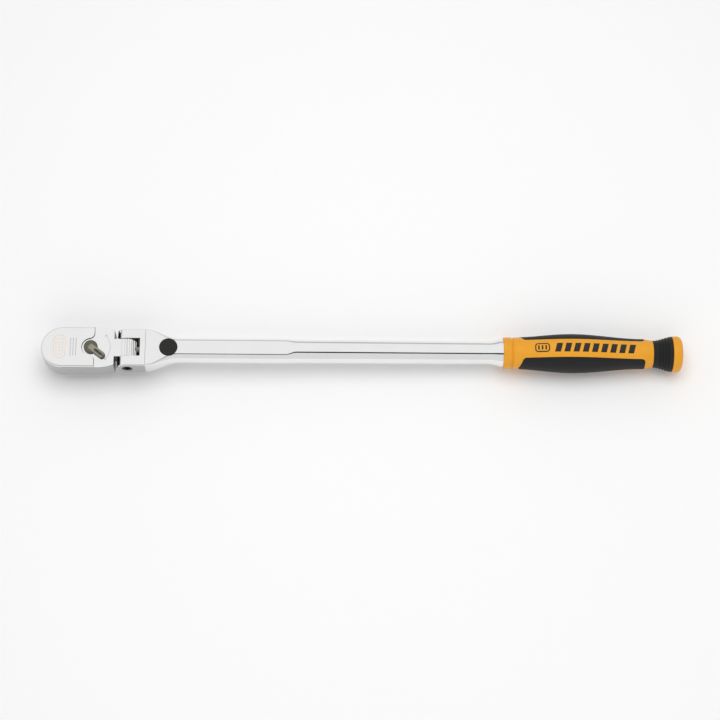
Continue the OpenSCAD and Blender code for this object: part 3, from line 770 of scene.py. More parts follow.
def build_bar():
    """The forged handle bar: its yoke slot, screw seat, lock bar's bore and button pocket."""
    bar = loft("handle_forging", bar_sections())
    slot_half = TONGUE_HALF + 0.1 * MM
    deep = 30 * MM
    head_r, screw_r, bore_r = 5 * MM, 3.55 * MM, 5.1 * MM
    head_end, screw_end = 4 * MM - YOKE_HALF, 16.5 * MM
    outside = -YOKE_HALF - 2 * MM
    bore_start, bore_end = SLOT_END_X - MM, 116 * MM
    tools = [
        box_tool("yoke_slot", (HINGE.x - 20 * MM, -slot_half, -deep), (SLOT_END_X, slot_half, deep)),
        revolve("screw_seat", [(0, outside), (head_r, outside), (head_r, head_end), (screw_r, head_end),
                               (screw_r, screw_end), (0, screw_end)], across_hinge, 64),
        revolve("bar_bore", [(0, bore_start), (bore_r, bore_start), (bore_r, bore_end), (0, bore_end)],
                on_handle, 64),
        round_tool("button_pocket", centre("lock_button").x, 0, 8.75 * MM, AXIS_Z + 5.8 * MM,
                   BUTTON_HIGH.z + 5 * MM, 96),
    ]
    combine(bar, tools)
    finish_piece(bar, "handle", material(polished_chrome), ["handle_bar"], 30)

    def in_painted_shade(spot, facing):
        slot_wall = abs(abs(spot.y) - slot_half) < 0.05 * MM and spot.x < SLOT_END_X
        slot_end = facing.x < -0.9 and abs(spot.x - SLOT_END_X) < 0.05 * MM
        ear_tip = spot.x < HINGE.x - 7 * MM and facing.x < -0.78
        return slot_wall or slot_end or ear_tip
    # The yoke's faces turned away from the top take the greyer side chrome: painted shade.
    dress_faces(bar, material(shaded_side_chrome), lambda spot, facing: spot.x < EAR_END_X and facing.z < 0.4)
    # The slot's walls and end take the dark chrome as painted shade, and the ear tips take it as a painted
    # dark reflection of the gap.
    dress_faces(bar, material(shade_painted_chrome), in_painted_shade)
    even_normals(bar)


# ---- Lever ----

def turned_to_lever(points):
    """Turns points drawn with the tail along +X to the lever's rest."""
    turn = Matrix.Rotation(LEVER_REST, 3, "Z")
    return [Vector((LEVER.x, 0, 0)) + turn @ Vector(p) for p in points]


def start_tree(name, sockets):
    """A geometry-nodes tree, with what its inputs give inside it; sockets are named by their kind."""
    tree = bpy.data.node_groups.new(name, "GeometryNodeTree")
    tree.interface.new_socket("Geometry", in_out="OUTPUT", socket_type="NodeSocketGeometry")
    for kind, labels in sockets.items():
        for label in labels:
            tree.interface.new_socket(label, in_out="INPUT", socket_type="NodeSocket" + kind)
    return tree, add_node(tree, "NodeGroupInput").outputs


def end_tree(tree, geometry, look):
    """Sends a tree's geometry out as a real mesh with its material."""
    real = add_node(tree, "GeometryNodeRealizeInstances", inputs={"Geometry": geometry})
    dressed = add_node(tree, "GeometryNodeSetMaterial", inputs={
        "Geometry": real.outputs[0], "Material": look})
    add_node(tree, "NodeGroupOutput", inputs={"Geometry": dressed.outputs[0]})
    return tree


def rib_tree():
    """Geometry nodes: a row of small ribs along X."""
    tree, given = start_tree("rib_row", {
        "Int": ["Count"], "Float": ["Pitch", "Heading"], "Vector": ["Size", "Start", "Centre"],
        "Material": ["Material"]})
    step = add_node(tree, "ShaderNodeCombineXYZ", inputs={"X": given["Pitch"]})
    row = add_node(tree, "GeometryNodeMeshLine", {"mode": "OFFSET"}, {
        "Count": given["Count"], "Start Location": given["Start"], "Offset": step.outputs[0]})
    rib = add_node(tree, "GeometryNodeMeshCube", inputs={
        "Size": given["Size"], "Vertices X": 3, "Vertices Y": 5, "Vertices Z": 2})
    soft = add_node(tree, "GeometryNodeSubdivisionSurface", inputs={
        "Mesh": rib.outputs["Mesh"], "Level": 1})
    on_row = add_node(tree, "GeometryNodeInstanceOnPoints", inputs={
        "Points": row.outputs["Mesh"], "Instance": soft.outputs["Mesh"]})
    turn = add_node(tree, "ShaderNodeCombineXYZ", inputs={"Z": given["Heading"]})
    placed = add_node(tree, "GeometryNodeTransform", inputs={
        "Geometry": on_row.outputs["Instances"], "Rotation": turn.outputs[0],
        "Translation": given["Centre"]})
    return end_tree(tree, placed.outputs[0], given["Material"])


def coil_tree():
    """Geometry nodes: a helical spring of round wire along Z."""
    tree, given = start_tree("coil_spring", {
        "Float": ["Turns", "Coil Radius", "Wire Radius", "Length"], "Vector": ["Rotation", "Start"],
        "Material": ["Material"]})
    helix = add_node(tree, "GeometryNodeCurveSpiral", inputs={
        "Resolution": 28, "Rotations": given["Turns"], "Start Radius": given["Coil Radius"],
        "End Radius": given["Coil Radius"], "Height": given["Length"]})
    wire = add_node(tree, "GeometryNodeCurvePrimitiveCircle", inputs={
        "Resolution": 12, "Radius": given["Wire Radius"]})
    swept = add_node(tree, "GeometryNodeCurveToMesh", inputs={
        "Curve": helix.outputs[0], "Profile Curve": wire.outputs["Curve"], "Fill Caps": True})
    placed = add_node(tree, "GeometryNodeTransform", inputs={
        "Geometry": swept.outputs[0], "Rotation": given["Rotation"], "Translation": given["Start"]})
    return end_tree(tree, placed.outputs[0], given["Material"])


TREES = {}


def grown(name, tree_maker, values):
    """A plain mesh made by a geometry-nodes tree with the given named inputs."""
    if tree_maker.__name__ not in TREES:
        TREES[tree_maker.__name__] = tree_maker()
    tree = TREES[tree_maker.__name__]
    made = into_scene(name, bpy.data.meshes.new(name))
    step = made.modifiers.new("grow", "NODES")
    step.node_group = tree
    identifiers = {item.name: item.identifier for item in tree.interface.items_tree
                   if item.in_out == "INPUT"}
    for key, value in values.items():
        step[identifiers[key]] = value
    apply_modifiers(made)
    if not made.data.polygons:
        raise RuntimeError(f"{name} came out empty")
    tidy(made)
    return made


def lever_disc(low, top):
    """The lever's round disc, slightly domed."""
    radius = 6.55 * MM
    broken = 0.2 * MM
    edge = 0.5 * MM
    rounding = arc(radius - edge, top - edge, edge, 15, 90, 5)
    dome = [(radius * 0.62, top + 0.1 * MM), (radius * 0.4, top + 0.16 * MM), (0, top + 0.2 * MM)]
    profile = [(0, low), (radius - broken, low), (radius, low + broken), (radius, top - edge)]
    return revolve("lever_thumb_piece", profile + rounding + dome, upright(LEVER.x, 0), 96)


def lever_stem(top):
    """The lever's shaft, with grooves for its retaining ring and its seal."""
    radius, broken = 4.5 * MM, 0.3 * MM
    foot = LEVER_LOW.z
    clip_r, clip_low, clip_high = 3.6 * MM, 13.95 * MM, 14.8 * MM
    seal_r, seal_low, seal_high = 3.1 * MM, 17.8 * MM, 19.2 * MM
    profile = [(0, foot), (radius - broken, foot), (radius, foot + broken), (radius, clip_low),
               (clip_r, clip_low), (clip_r, clip_high), (radius, clip_high), (radius, seal_low),
               (seal_r, seal_low), (seal_r, seal_high), (radius, seal_high), (radius, top), (0, top)]
    return revolve("stem_tool", profile, upright(LEVER.x, 0), 64)


def build_lever():
    """The reversing lever in one casting, with small ribs in its thumb slot."""
    disc_z = PLATEAU_Z + 0.1 * MM
    disc_top = disc_z + 2.2 * MM
    slot_floor = disc_top - 0.35 * MM
    above = disc_top + 4 * MM
    lever = lever_disc(disc_z, disc_top)
    combine(lever, [lever_tail(disc_z + 0.2 * MM, disc_top + 0.55 * MM)], "UNION")
    combine(lever, [lever_stem(disc_z + 0.5 * MM)], "UNION")
    slot_plan = turned_to_lever([(x, y, 0) for x, y in stadium(5.9 * MM, 12.9 * MM, 1.25 * MM)])
    slot = prism("inset_tool", [(p.x, p.y) for p in slot_plan], slot_floor, above)
    tip = turned_to_lever([(15 * MM, 0, 0)])[0]
    dimple = round_tool("tip_dimple", tip.x, tip.y, 0.6 * MM, disc_top - 0.1 * MM, above, 32)
    plunger_r, plunger_z = 1.55 * MM, centre("lever_plunger").z
    circle = [math.radians(k * 15) for k in range(24)]
    plunger_hole = loft("plunger_tool", [
        turned_to_lever([(x, plunger_r * math.cos(a), plunger_z + plunger_r * math.sin(a)) for a in circle])
        for x in (-6 * MM, 3 * MM)])
    combine(lever, [slot, dimple, plunger_hole])
    finish_piece(lever, "lever", material(plated_casting), ["reverse_lever"], 38)

    def in_slot(spot, facing):
        """True on the floors of the slot and the dimple, and low on the slot's walls."""
        from_lever = Matrix.Rotation(-LEVER_REST, 2) @ Vector((spot.x - LEVER.x, spot.y))
        sunk = slot_floor - 0.05 * MM < spot.z < disc_top and from_lever.length > 4 * MM
        between_walls = abs(from_lever.y) < 1.4 * MM and from_lever.x < 14.3 * MM
        return sunk and (facing.z > 0.9 or (spot.z > slot_floor + 0.01 * MM and between_walls))
    # The floors of the slot and the dimple and the slot's lower walls take the dark chrome: painted shade.
    dress_faces(lever, material(shade_painted_chrome), in_slot)
    even_normals(lever)
    ribs = grown("lever_ribs", rib_tree, {
        "Count": 5, "Pitch": 1.5 * MM, "Size": (0.6 * MM, 2.3 * MM, 1.1 * MM),
        "Start": (6.4 * MM, 0, 0), "Heading": LEVER_REST,
        "Centre": (LEVER.x, 0, disc_top), "Material": material(plated_casting)})
    finish_piece(ribs, "lever", material(plated_casting))


def stadium(x0, x1, radius):
    """Plan of a round-ended slot along X."""
    return arc(x1, 0, radius, -90, 90, 12) + arc(x0, 0, radius, 90, 270, 12)


def lever_tail(low, high):
    """The thumb tail: a rounded bar with a crowned top that runs onto the disc."""
    reach = 16.8 * MM
    half = 3.2 * MM
    start = -3.4 * MM
    steps = 28
    rings = []
    for i in range(steps + 1):
        t = i / steps
        x = mix(start, reach, 0.5 - 0.5 * math.cos(math.pi * t))
        from_end = min(x - start, reach - x)
        narrow = math.sqrt(max(0, 1 - (1 - min(1, from_end / half)) ** 2))
        half_w = max(0.05 * MM, half * narrow)
        crown = mix(low + 0.4 * MM, high, 0.35 + 0.65 * narrow)
        edge = min(0.7 * MM, half_w * 0.7)
        ring = [(x, -half_w, low), (x, half_w, low), (x, half_w, crown - edge)]
        ring += [(x, half_w - edge + edge * math.cos(a), crown - edge + edge * math.sin(a))
                 for a in [math.radians(d) for d in (22, 45, 68, 90)]]
        ring += [(x, -y, z) for _, y, z in reversed(ring[2:])]
        rings.append(turned_to_lever(ring))
    return loft("tail_tool", rings)


# ---- Lock ----

def build_lock():
    """The lock button with its hollow skirt, slight crown and ramp blade, and the lock bar's finish."""
    radius, hollow_r = 8.65 * MM, 7.2 * MM
    high = BUTTON_HIGH.z
    skirt = AXIS_Z + 7.5 * MM
    roof = skirt + 2.4 * MM
    broken = 0.15 * MM
    edge = 0.6 * MM
    shoulder = high - 0.35 * MM
    profile = [(0, roof), (hollow_r, roof), (hollow_r, skirt), (radius - broken, skirt),
               (radius, skirt + broken), (radius, shoulder - edge)]
    profile += arc(radius - edge, shoulder - edge, edge, 15, 90, 5)
    profile += [(radius * 0.62, high - 0.1 * MM), (radius * 0.3, high - 0.02 * MM), (0, high)]
    cap = revolve("lock_button_cap", profile, upright(BUTTON_X, 0), 128)
    combine(cap, [blade_piece()], "UNION")
    finish_piece(cap, "button", material(black_nylon), ["lock_button"], 40)
    even_normals(cap)
    dress("lock_bar", ground_steel)


def blade_piece():
    """The button's ramp blade, its side view drawn in the XZ plane."""
    outline = [(92.6, -6.4), (98, -6.4), (98, -5), (103.5, 0.5), (103.5, 10.4), (96, 10.4),
               (96, -5.15), (92.6, -5.15)]
    half = 2.2 * MM
    return loft("blade_tool", [[(x * MM, y, AXIS_Z + z * MM) for x, z in outline] for y in (-half, half)])


def dress(node, look):
    """Gives a CAD node its material."""
    held = frame["nodes"][node]
    held.data.materials.clear()
    held.data.materials.append(material(look))


# ---- Springs ----

def build_springs():
    """Coil springs, each drawn from its fixed end and shortened by the joint that presses it."""
    wire = material(spring_wire)
    quarter = math.pi / 2
    end_gap = 0.05 * MM
    coils = {
        "ball_spring": ("drive", 3, 0.3, "ball_slide"),
        "plunger_spring": ("lever", 5, 0.25, "plunger_slide"),
        "lock_spring": ("handle", 4, 0.5, "lock_slide"),
        "button_spring": ("handle", 3, 0.35, "button_press"),
    }
    for node, (body, turns, wire_mm, joint) in coils.items():
        low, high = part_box(node)
        middle = (low + high) / 2
        wire_r = wire_mm * MM
        if joint == "lock_slide":
            start, length = Vector((high.x - wire_r, middle.y, AXIS_Z)), high.x - low.x - 2 * wire_r
            rotation, coil_r = (0, -quarter, 0), (high.z - low.z) / 2 - wire_r
        elif joint == "button_press":
            start, length = Vector((middle.x, 0, low.z + wire_r)), high.z - low.z - 2 * wire_r
            rotation, coil_r = (0, 0, 0), 6.3 * MM
        elif joint == "ball_slide":
            start, length = Vector((0, high.y - wire_r, middle.z)), high.y - low.y - 2 * wire_r
            rotation, coil_r = (quarter, 0, 0), 1.5 * MM
        else:
            start = turned_to_lever([(2.95 * MM - wire_r, 0, middle.z)])[0]
            length = 3.85 * MM - 2 * wire_r
            rotation, coil_r = (0, -quarter, LEVER_REST), 1.0 * MM
        made = grown(node + "_coil", coil_tree, {
            "Turns": float(turns), "Coil Radius": coil_r, "Wire Radius": wire_r,
            "Length": length - end_gap, "Rotation": rotation, "Start": tuple(start),
            "Material": wire})
        finish_piece(made, body, wire, [node], 60)
        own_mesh(made)


# ---- Grip ----

def grip_radius(x):
    """Radius of the moulded grip along its length."""
    if x < BELLY_X:
        return mix(RING_R, BELLY_R, ease((x - RING_END_X) / (BELLY_X - RING_END_X)))
    return mix(BELLY_R, TAIL_R, ease((x - BELLY_X) / (TAIL_X - BELLY_X)))


def grip_skin(x, angle, lift):
    """A point on the grip's skin; the angle is measured from the top, towards +Y."""
    r = grip_radius(x) + lift
    return (x, r * math.sin(angle), AXIS_Z + r * math.cos(angle))


def build_core(look):
    """The orange grip moulding, with its end ring, groove and swelling barrel, bored for the bar."""
    x0 = GRIP_X
    edge = 1.5 * MM
    profile = [(CORE_BORE_R, x0)] + [(RING_R - edge + edge * math.cos(a), x0 + edge - edge * math.sin(a))
                                   for a in [math.radians(d) for d in range(90, -1, -15)]]
    profile += [(RING_R, RING_END_X - 1.4 * MM), (RING_R - 0.35 * MM, RING_END_X - 0.9 * MM),
                (RING_R - 1.1 * MM, RING_END_X - 0.5 * MM), (RING_R - 1.1 * MM, RING_END_X + 0.3 * MM),
                (RING_R - 0.25 * MM, RING_END_X + 0.8 * MM)]
    steps = 90
    start = RING_END_X + 1.3 * MM
    for i in range(steps + 1):
        x = mix(start, TAIL_X, i / steps)
        profile.append((grip_radius(x), x))
    end_x = GRIP_END_X - 0.05 * MM
    for i in range(1, 13):
        t = i / 12
        profile.append((mix(TAIL_R, GRIP_END_R + 0.35 * MM, ease(t)), mix(TAIL_X, end_x - 0.4 * MM, t)))
    profile += [(GRIP_END_R, end_x), (STUB_R, end_x), (STUB_R, CORE_HIGH.x), (0, CORE_HIGH.x),
                (0, BAR_HIGH.x), (CORE_BORE_R, BAR_HIGH.x)]
    core = revolve("grip_moulding", profile, on_handle, 160)
    finish_piece(core, "handle", look, ["grip_core"],
                 40)


def pad_edges(share):
    """Where the pad starts and ends along the grip; share is 0 at its middle and 1 at its edge."""
    left = PAD_LOW.x - 1 * MM
    slant = 5 * MM
    right = TAIL_X + 1.2 * MM
    corner_left = 3.2 * MM
    corner_right = 4.5 * MM
    from_edge = (1 - share) * PAD_WIDTH
    start = left + slant * share
    stop = right
    if from_edge < corner_left:
        start += corner_left - math.sqrt(corner_left ** 2 - (corner_left - from_edge) ** 2)
    if from_edge < corner_right:
        stop -= corner_right - math.sqrt(corner_right ** 2 - (corner_right - from_edge) ** 2)
    return start, stop


def pad_grid(side, lift, sink):
    """Rows of points over one pad; its rim dips below the orange skin."""
    rows = []
    across, along = 56, 150
    rim = 1.1 * MM
    for i in range(across + 1):
        share = -1 + 2 * i / across
        start, stop = pad_edges(abs(share))
        row = []
        for j in range(along + 1):
            x = mix(start, stop, j / along)
            r = grip_radius(x)
            edge_angle = math.asin(SPINE_HALF / r)
            angle = math.pi / 2 + share * (math.pi / 2 - edge_angle)
            from_rim = min((1 - abs(share)) * PAD_WIDTH, x - start, stop - x)
            rise = math.sqrt(max(0, 1 - (1 - min(1, from_rim / rim)) ** 2))
            row.append(grip_skin(x, side * angle, mix(sink, lift, rise)))
        rows.append(row)
    return rows


def build_pads(look):
    """Two overmoulded side pads, crowned a little above the orange."""
    crown, rim_dip, back = 0.2 * MM, -0.12 * MM, -1.6 * MM
    points, faces = [], []
    for side in (1, -1):
        outer = pad_grid(side, crown, rim_dip)
        inner = pad_grid(side, back, back)
        rows, cols = len(outer), len(outer[0])
        base = len(points)
        points += [p for row in outer for p in row] + [p for row in inner for p in row]
        deep = rows * cols

        def at(i, j, layer):
            return base + layer * deep + i * cols + j
        for i in range(rows - 1):
            for j in range(cols - 1):
                faces.append((at(i, j, 0), at(i, j + 1, 0), at(i + 1, j + 1, 0), at(i + 1, j, 0)))
                faces.append((at(i, j, 1), at(i + 1, j, 1), at(i + 1, j + 1, 1), at(i, j + 1, 1)))
        for i in range(rows - 1):
            for j in (0, cols - 1):
                faces.append((at(i, j, 0), at(i + 1, j, 0), at(i + 1, j, 1), at(i, j, 1)))
        for j in range(cols - 1):
            for i in (0, rows - 1):
                faces.append((at(i, j, 0), at(i, j + 1, 0), at(i, j + 1, 1), at(i, j, 1)))
    pads = new_object("grip_side_pads", points, faces)
    finish_piece(pads, "handle", look, ["grip_pads"],
                 50)


def build_collar(look):
    """The black flared collar with four soft ridges."""
    x0, x1 = COLLAR_LOW.x, COLLAR_HIGH.x
    high_r = COLLAR_HIGH.y
    ridges, ridge_start, ridge_pitch, ridge_depth = 4, 4.6 * MM, 2.7 * MM, 0.8 * MM
    profile = [(STUB_BORE_R, x0), (GRIP_END_R - 0.3 * MM, x0), (GRIP_END_R, x0 + 0.3 * MM)]
    steps = 120
    for i in range(1, steps):
        t = i / steps
        x = mix(x0 + 0.3 * MM, x1, t)
        r = mix(GRIP_END_R, high_r, ease(t) * 0.6 + 0.4 * t)
        ridge_t = (x - x0 - ridge_start) / ridge_pitch
        if 0 < ridge_t < ridges:
            r -= ridge_depth * (0.5 - 0.5 * math.cos(2 * math.pi * ridge_t)) ** 2
        profile.append((r, x))
    profile += [(high_r, x1 - 0.05 * MM), (high_r - 0.3 * MM, x1), (STUB_BORE_R, x1)]
    collar = revolve("grip_end_collar", profile, on_handle, 144)
    finish_piece(collar, "handle", look, ["grip_collar"],
                 50)


def build_cap(look):
    """The orange end cap with a low dome."""
    x0, x1 = CAP_LOW.x, CAP_HIGH.x
    radius = CAP_HIGH.y
    edge = 4.5 * MM
    dome = 1.2 * MM
    profile = [(STUB_BORE_R, x0), (radius - 0.5 * MM, x0), (radius - 0.1 * MM, x0 + 0.4 * MM),
               (radius, x0 + 1 * MM)]
    cx, cr = x1 - dome - edge, radius - edge
    profile += arc(cr, cx, edge, 0, 85, 17)
    for i in range(0, 13):
        t = i / 12
        profile.append((cr * (1 - t) * 0.985, x1 - dome * (1 - t) ** 2 * 0.9))
    profile += [(0, CORE_HIGH.x + 0.05 * MM), (STUB_BORE_R, CORE_HIGH.x + 0.05 * MM)]
    cap = revolve("grip_end_cap", profile, on_handle, 144)
    finish_piece(cap, "handle", look, ["end_cap"],
                 40)


def build_grip():
    """The grip: its core, side pads, collar and end cap."""
    props = bpy.context.scene.wrench_finish
    orange = material(orange_polypropylene, props.orange)
    build_core(orange)
    black = material(black_elastomer, props.black)
    build_pads(black)
    build_collar(black)
    build_cap(orange)


# ---- Printed marks ----

def printed_patch(name, ribbons, place, look, body, thickness=0.03 * MM):
    """Thin raised film; each ribbon is a list of point pairs across it, and a closed one ends where
    it starts."""
    points, faces = [], []
    for pairs in ribbons:
        closed = pairs[0] == pairs[-1]
        rows = pairs[:-1] if closed else pairs
        base, count = len(points), len(rows)
        for left, right in rows:
            points += [place(*left, thickness), place(*right, thickness), place(*right, 0), place(*left, 0)]
        for i in range(count if closed else count - 1):
            near, far = base + 4 * i, base + 4 * ((i + 1) % count)
            for j in range(4):
                k = (j + 1) % 4
                faces.append((near + j, near + k, far + k, far + j))
        if not closed:
            last = base + 4 * (count - 1)
            faces.append((base + 3, base + 2, base + 1, base))
            faces.append((last, last + 1, last + 2, last + 3))
    made = new_object(name, points, faces)
    finish_piece(made, body, look)
    return made


def slanted_bar(u0, width, v0, v1, lean=0.0):
    """A leaning bar as one ribbon from v0 to v1."""
    rows = []
    for i in range(9):
        shift = lean * i / 8
        v = mix(v0, v1, i / 8)
        rows.append(((u0 + shift, v), (u0 + width + shift, v)))
    return rows


def ring_shape(cx, cy, half_w, half_h, corner, line):
    """A rounded rectangle's outline as one closed ribbon."""
    def loop(grow):
        w, h, r = half_w + grow, half_h + grow, corner + grow
        upper = arc(cx + w - r, cy + h - r, r, 0, 90, 6) + arc(cx - w + r, cy + h - r, r, 90, 180, 6)
        lower = arc(cx - w + r, cy - h + r, r, 180, 270, 6) + arc(cx + w - r, cy - h + r, r, 270, 360, 6)
        return upper + [(cx - w, cy)] + lower + [(cx + w, cy)]
    rows = list(zip(loop(-line), loop(0)))
    return rows + rows[:1]


def build_marks():
    """Generic marks: leaning bars on the grip, a plain frame and bars on the head, turn arrows."""
    thin = (0.8 * MM, 3)
    black = grained("black_pad_print", thin, ("#0B0908", "#15110E"), (0.4, 0.52))()
    pale = grained("orange_pad_print", thin, ("#EFC7A0", "#F2D4B6"), (0.35, 0.47))()
    grey = grained("grey_etched_mark", thin, ("#B9BBB9", "#CBCDCB"), (0.45, 0.57))()

    def on_grip(u, v, lift):
        r = grip_radius(u) + 0.01 * MM + lift
        return (u, v, AXIS_Z + math.sqrt(r * r - v * v))
    bars = [slanted_bar(mix(466 * MM, 536 * MM, i / 8), 5.6 * MM, -4.4 * MM, 4.4 * MM, 2.4 * MM)
            for i in range(9)]
    badge = ring_shape(454.5 * MM, 0, 7 * MM, 4.5 * MM, 3 * MM, 1.1 * MM)
    badge_bars = [slanted_bar(u * MM, 1.5 * MM, -2.2 * MM, 2.2 * MM) for u in (450.3, 453.7, 457.1)]
    printed_patch("grip_print", bars + badge_bars + [badge], on_grip, black, "handle")

    def on_top(u, v, lift):
        return (u, v, TOP_Z + 0.005 * MM + lift)
    frames = [ring_shape(-3 * MM, 0, 5.8 * MM, 11.5 * MM, 4.5 * MM, 0.55 * MM),
              ring_shape(-3 * MM, 0, 3.6 * MM, 8.6 * MM, 3 * MM, 0.45 * MM)]
    ticks = [slanted_bar(-4.6 * MM, 3.2 * MM, (y - 0.3) * MM, (y + 0.3) * MM) for y in (-4, -1.3, 1.3, 4)]
    printed_patch("nose_print", frames + ticks, on_top, pale, "head")
    lines = [slanted_bar(x * MM, 0.9 * MM, -9 * MM, 9 * MM) for x in (7, 9.6, 12.2)]
    printed_patch("housing_print", lines, on_top, grey, "head")

    def on_plateau(u, v, lift):
        return (u, v, PLATEAU_Z + 0.005 * MM + lift)
    reach = 18.4 * MM
    line = 0.3 * MM
    sweep = 38
    outer = arc(LEVER.x, 0, reach + line, -sweep, sweep, 24)
    inner = arc(LEVER.x, 0, reach - line, -sweep, sweep, 24)
    arrows = [list(zip(inner, outer))]
    for side in (1, -1):
        barb = 1.5 * MM
        start, stop = side * sweep, side * (sweep + 7)
        tip = arc(LEVER.x, 0, reach, stop, stop, 1)[0]
        arrows.append([(arc(LEVER.x, 0, reach - barb, start, start, 1)[0],
                        arc(LEVER.x, 0, reach + barb, start, start, 1)[0]),
                       ((tip[0], tip[1]), (tip[0] + line / 10, tip[1]))])
    printed_patch("turn_arrows", arrows, on_plateau, grey, "head")


# ---- Inner parts ----

def build_inner():
    """Finishes for the CAD nodes that keep their own shape."""
    looks = {
        "cover_plate": satin_chrome, "cover_screws": black_oxide, "thrust_ring": sintered_bronze,
        "pawl_pin": ground_steel, "pawl": ground_steel, "drive_gear": satin_chrome,
        "detent_ball": spring_wire, "lever_o_ring": nitrile_rubber,
        "lever_retaining_ring": black_oxide, "lever_plunger": ground_steel,
        "hinge_screw": black_oxide,
    }
    for node, look in looks.items():
        dress(node, look)


# ---- Stage ----

def build_stage():
    """Floor under the square's tip and the end cap's rim, camera, light and surroundings."""
    props = bpy.context.scene.wrench_finish
    square_half = 6.3 * MM
    rim_back = 5.7 * MM
    play = 0.05 * MM
    tip = Vector((square_half, 0, GEAR_LOW.z))
    rim = Vector((CAP_HIGH.x - rim_back, 0, CAP_LOW.z))
    slope = math.atan2(rim.z - tip.z, rim.x - tip.x)
    tilt = Matrix.Rotation(-slope, 3, "Y")
    right, away, up = tilt @ Vector((1, 0, 0)), Vector((0, 1, 0)), tilt @ Vector((0, 0, 1))
    middle = Vector((0.28, 0, 0))
    half = 6.0
    down = up * play
    corners = [tip - down + right * (u * half) + away * (v * half) for u, v in
               ((-1, -1), (1, -1), (1, 1), (-1, 1))]
    floor = into_scene("floor", bpy.data.meshes.new("floor"))
    floor.data.from_pydata([tuple(c) for c in corners], [], [(0, 1, 2, 3)])
    floor.data.materials.append(material(floor_card))

    elevation = math.radians(props.camera_elevation)
    back = up * math.sin(elevation) - away * math.cos(elevation)
    screen_up = up * math.cos(elevation) + away * math.sin(elevation)
    aim_x, aim_drop = 281.8 * MM, 7.6 * MM
    aim = Vector((aim_x, 0, AXIS_Z)) - screen_up * aim_drop
    camera_data = bpy.data.cameras.new("camera")
    camera_data.lens = 95
    camera_data.sensor_width = 36
    camera = into_scene("camera", camera_data)
    pose = Matrix((right, screen_up, back)).transposed().to_4x4()
    pose.translation = aim + back * props.camera_distance
    camera.matrix_world = pose
    bpy.context.scene.camera = camera

    for name, place, size, power in (("key_softbox", (0.28, 0.22, 1.45), 1.0, props.key_power),
                                     ("front_fill", (0.3, -1.6, 1.2), 1.6, props.fill_power)):
        data = bpy.data.lights.new(name, "AREA")
        data.shape = "SQUARE"
        data.size = size
        data.energy = power
        lamp = into_scene(name, data)
        lamp.visible_glossy = False
        lamp.location = place
        lamp.rotation_euler = (Vector(place) - middle).to_track_quat("Z", "Y").to_euler()

    surroundings(props)
    bpy.context.scene.view_settings.view_transform = "Standard"
    bpy.context.scene.view_settings.look = "None"


def surroundings(props):
    """White studio tent: bright overhead, a little greyer in front and round the horizon, with the
    dark slit in its roof that the camera looks through."""
    world = bpy.data.worlds.new("studio")
    world.use_nodes = True
    bpy.context.scene.world = world
    tree = world.node_tree
    tree.nodes.clear()
    heading = add_node(tree, "ShaderNodeTexCoord").outputs["Generated"]
    parts = add_node(tree, "ShaderNodeSeparateXYZ", inputs={"Vector": heading}).outputs
    height = parts["Z"]
    slit_tilt = math.radians(props.slit_tilt)
    past_slit = add_node(tree, "ShaderNodeVectorMath", {"operation": "DOT_PRODUCT"}, {
        0: heading, 1: (0, math.cos(slit_tilt), math.sin(slit_tilt))}).outputs["Value"]
    off_slit = add_node(tree, "ShaderNodeMath", {"operation": "ABSOLUTE"}, {0: past_slit}).outputs[0]
    slit_half, slit_edge = 0.08, 0.125
    near_slit = spread(tree, off_slit, 1.0, 0.0, slit_half, slit_edge)
    overhead = spread(tree, height, 0.0, 1.0, 0.55, 0.75)
    slit = product(tree, near_slit, overhead)
    front = spread(tree, past_slit, 1.0, 0.0, -0.25, 0.0)
    low = product(tree, spread(tree, height, 1.0, 0.0, 0.02, 0.4),
                  spread(tree, parts["Y"], 0.0, 1.0, -0.6, -0.1))
    tent = blend_colours(tree, front, linear("#FFFFFF"), linear("#ECECEC"))
    skirt = blend_colours(tree, low, tent, linear("#A3A4A4"))
    colour = blend_colours(tree, slit, skirt, linear("#0A0A0A"))
    on_matt = add_node(tree, "ShaderNodeLightPath").outputs["Is Diffuse Ray"]
    strength = spread(tree, on_matt, props.sky_strength, props.sky_fill, 0.0, 1.0)
    backdrop = add_node(tree, "ShaderNodeBackground", inputs={"Color": colour, "Strength": strength})
    add_node(tree, "ShaderNodeOutputWorld", inputs={"Surface": backdrop.outputs[0]})


# ---- Add-on ----

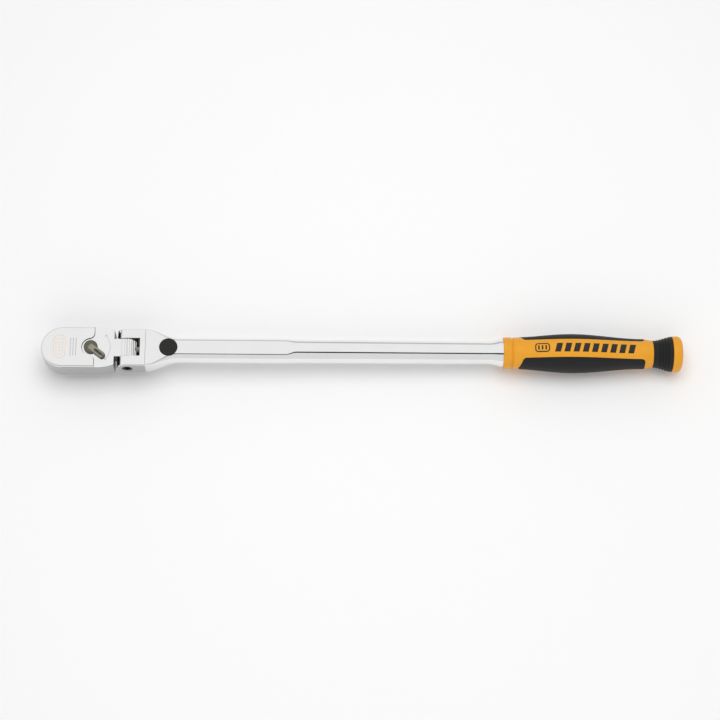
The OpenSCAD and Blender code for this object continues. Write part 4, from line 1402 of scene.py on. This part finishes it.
class WrenchFinish(bpy.types.PropertyGroup):
    """Colours, light and camera that a user would change."""
    orange: bpy.props.FloatVectorProperty(
        name="Orange", description="Colour of the grip moulding", subtype="COLOR", size=4,
        min=0, max=1, default=linear("#EEA628"))
    black: bpy.props.FloatVectorProperty(
        name="Black", description="Colour of the overmoulded pads", subtype="COLOR", size=4,
        min=0, max=1, default=linear("#0E0E0E"))
    camera_elevation: bpy.props.FloatProperty(
        name="Camera Elevation", description="Camera's height above the floor's plane, in degrees",
        default=70.0, min=5.0, max=89.0)
    camera_distance: bpy.props.FloatProperty(
        name="Camera Distance", description="Distance from the camera to the handle", unit="LENGTH",
        subtype="DISTANCE", default=1.812, min=0.2, max=10.0)
    key_power: bpy.props.FloatProperty(
        name="Key Power", description="Power of the softbox behind and above", unit="POWER",
        default=8.0, min=0.0, max=500.0)
    fill_power: bpy.props.FloatProperty(
        name="Fill Power", description="Power of the front fill", unit="POWER",
        default=6.0, min=0.0, max=500.0)
    sky_strength: bpy.props.FloatProperty(
        name="Surroundings", description="Brightness of the white surroundings",
        default=0.95, min=0.0, max=5.0)
    sky_fill: bpy.props.FloatProperty(
        name="Surroundings' Fill", description="Brightness of the surroundings as matt surfaces see them",
        default=0.72, min=0.0, max=5.0)
    slit_tilt: bpy.props.FloatProperty(
        name="Slit Tilt", description="Tilt of the dark roof slit from straight overhead, in degrees",
        default=26.0, min=0.0, max=60.0)


class WrenchOperator:
    """What every operator of this file shares: it builds its pieces."""
    bl_options = {"REGISTER", "UNDO"}

    def execute(self, context):
        self.build()
        return {"FINISHED"}


PIECES = (
    ("head", "Head", "Forge the chrome head with its tongue", build_head),
    ("inner_parts", "Drive and Inner Parts",
     "Finish the drive, its cover, the pawl and the small parts inside", build_inner),
    ("springs", "Springs", "Coil the four springs", build_springs),
    ("lever", "Reversing Lever", "Cast the reversing lever with its ribbed thumb slot", build_lever),
    ("bar", "Handle Bar", "Forge the handle bar from its yoke to the grip", build_bar),
    ("lock", "Flex Lock", "Make the lock button and finish the lock bar", build_lock),
    ("grip", "Grip", "Mould the grip: its core, side pads, collar and end cap", build_grip),
    ("marks", "Printed Marks", "Print the plain marks on the head and the grip", build_marks),
    ("stage", "Stage", "Set the floor, the lights and the camera", build_stage),
)

OPERATORS = tuple(
    type(f"WRENCH_OT_{name}", (WrenchOperator, bpy.types.Operator), {
        "__doc__": hint, "bl_idname": f"wrench.{name}", "bl_label": label,
        "build": staticmethod(build)})
    for name, label, hint, build in PIECES)


class WRENCH_PT_finish(bpy.types.Panel):
    """Settings and pieces of the wrench"""
    bl_idname = "WRENCH_PT_finish"
    bl_label = "Ratchet Wrench"
    bl_space_type = "VIEW_3D"
    bl_region_type = "UI"
    bl_category = "Wrench"

    def draw(self, context):
        props = context.scene.wrench_finish
        for name in WrenchFinish.__annotations__:
            self.layout.prop(props, name)
        for operator in OPERATORS:
            self.layout.operator(operator.bl_idname)


CLASSES = (WrenchFinish, *OPERATORS, WRENCH_PT_finish)


def register():
    for item in CLASSES:
        bpy.utils.register_class(item)
    bpy.types.Scene.wrench_finish = bpy.props.PointerProperty(type=WrenchFinish)


def unregister():
    del bpy.types.Scene.wrench_finish
    for item in reversed(CLASSES):
        bpy.utils.unregister_class(item)


def main():
    register()
    for operator in OPERATORS:
        group, name = operator.bl_idname.split(".")
        getattr(getattr(bpy.ops, group), name)()


if __name__ == "__main__":
    main()
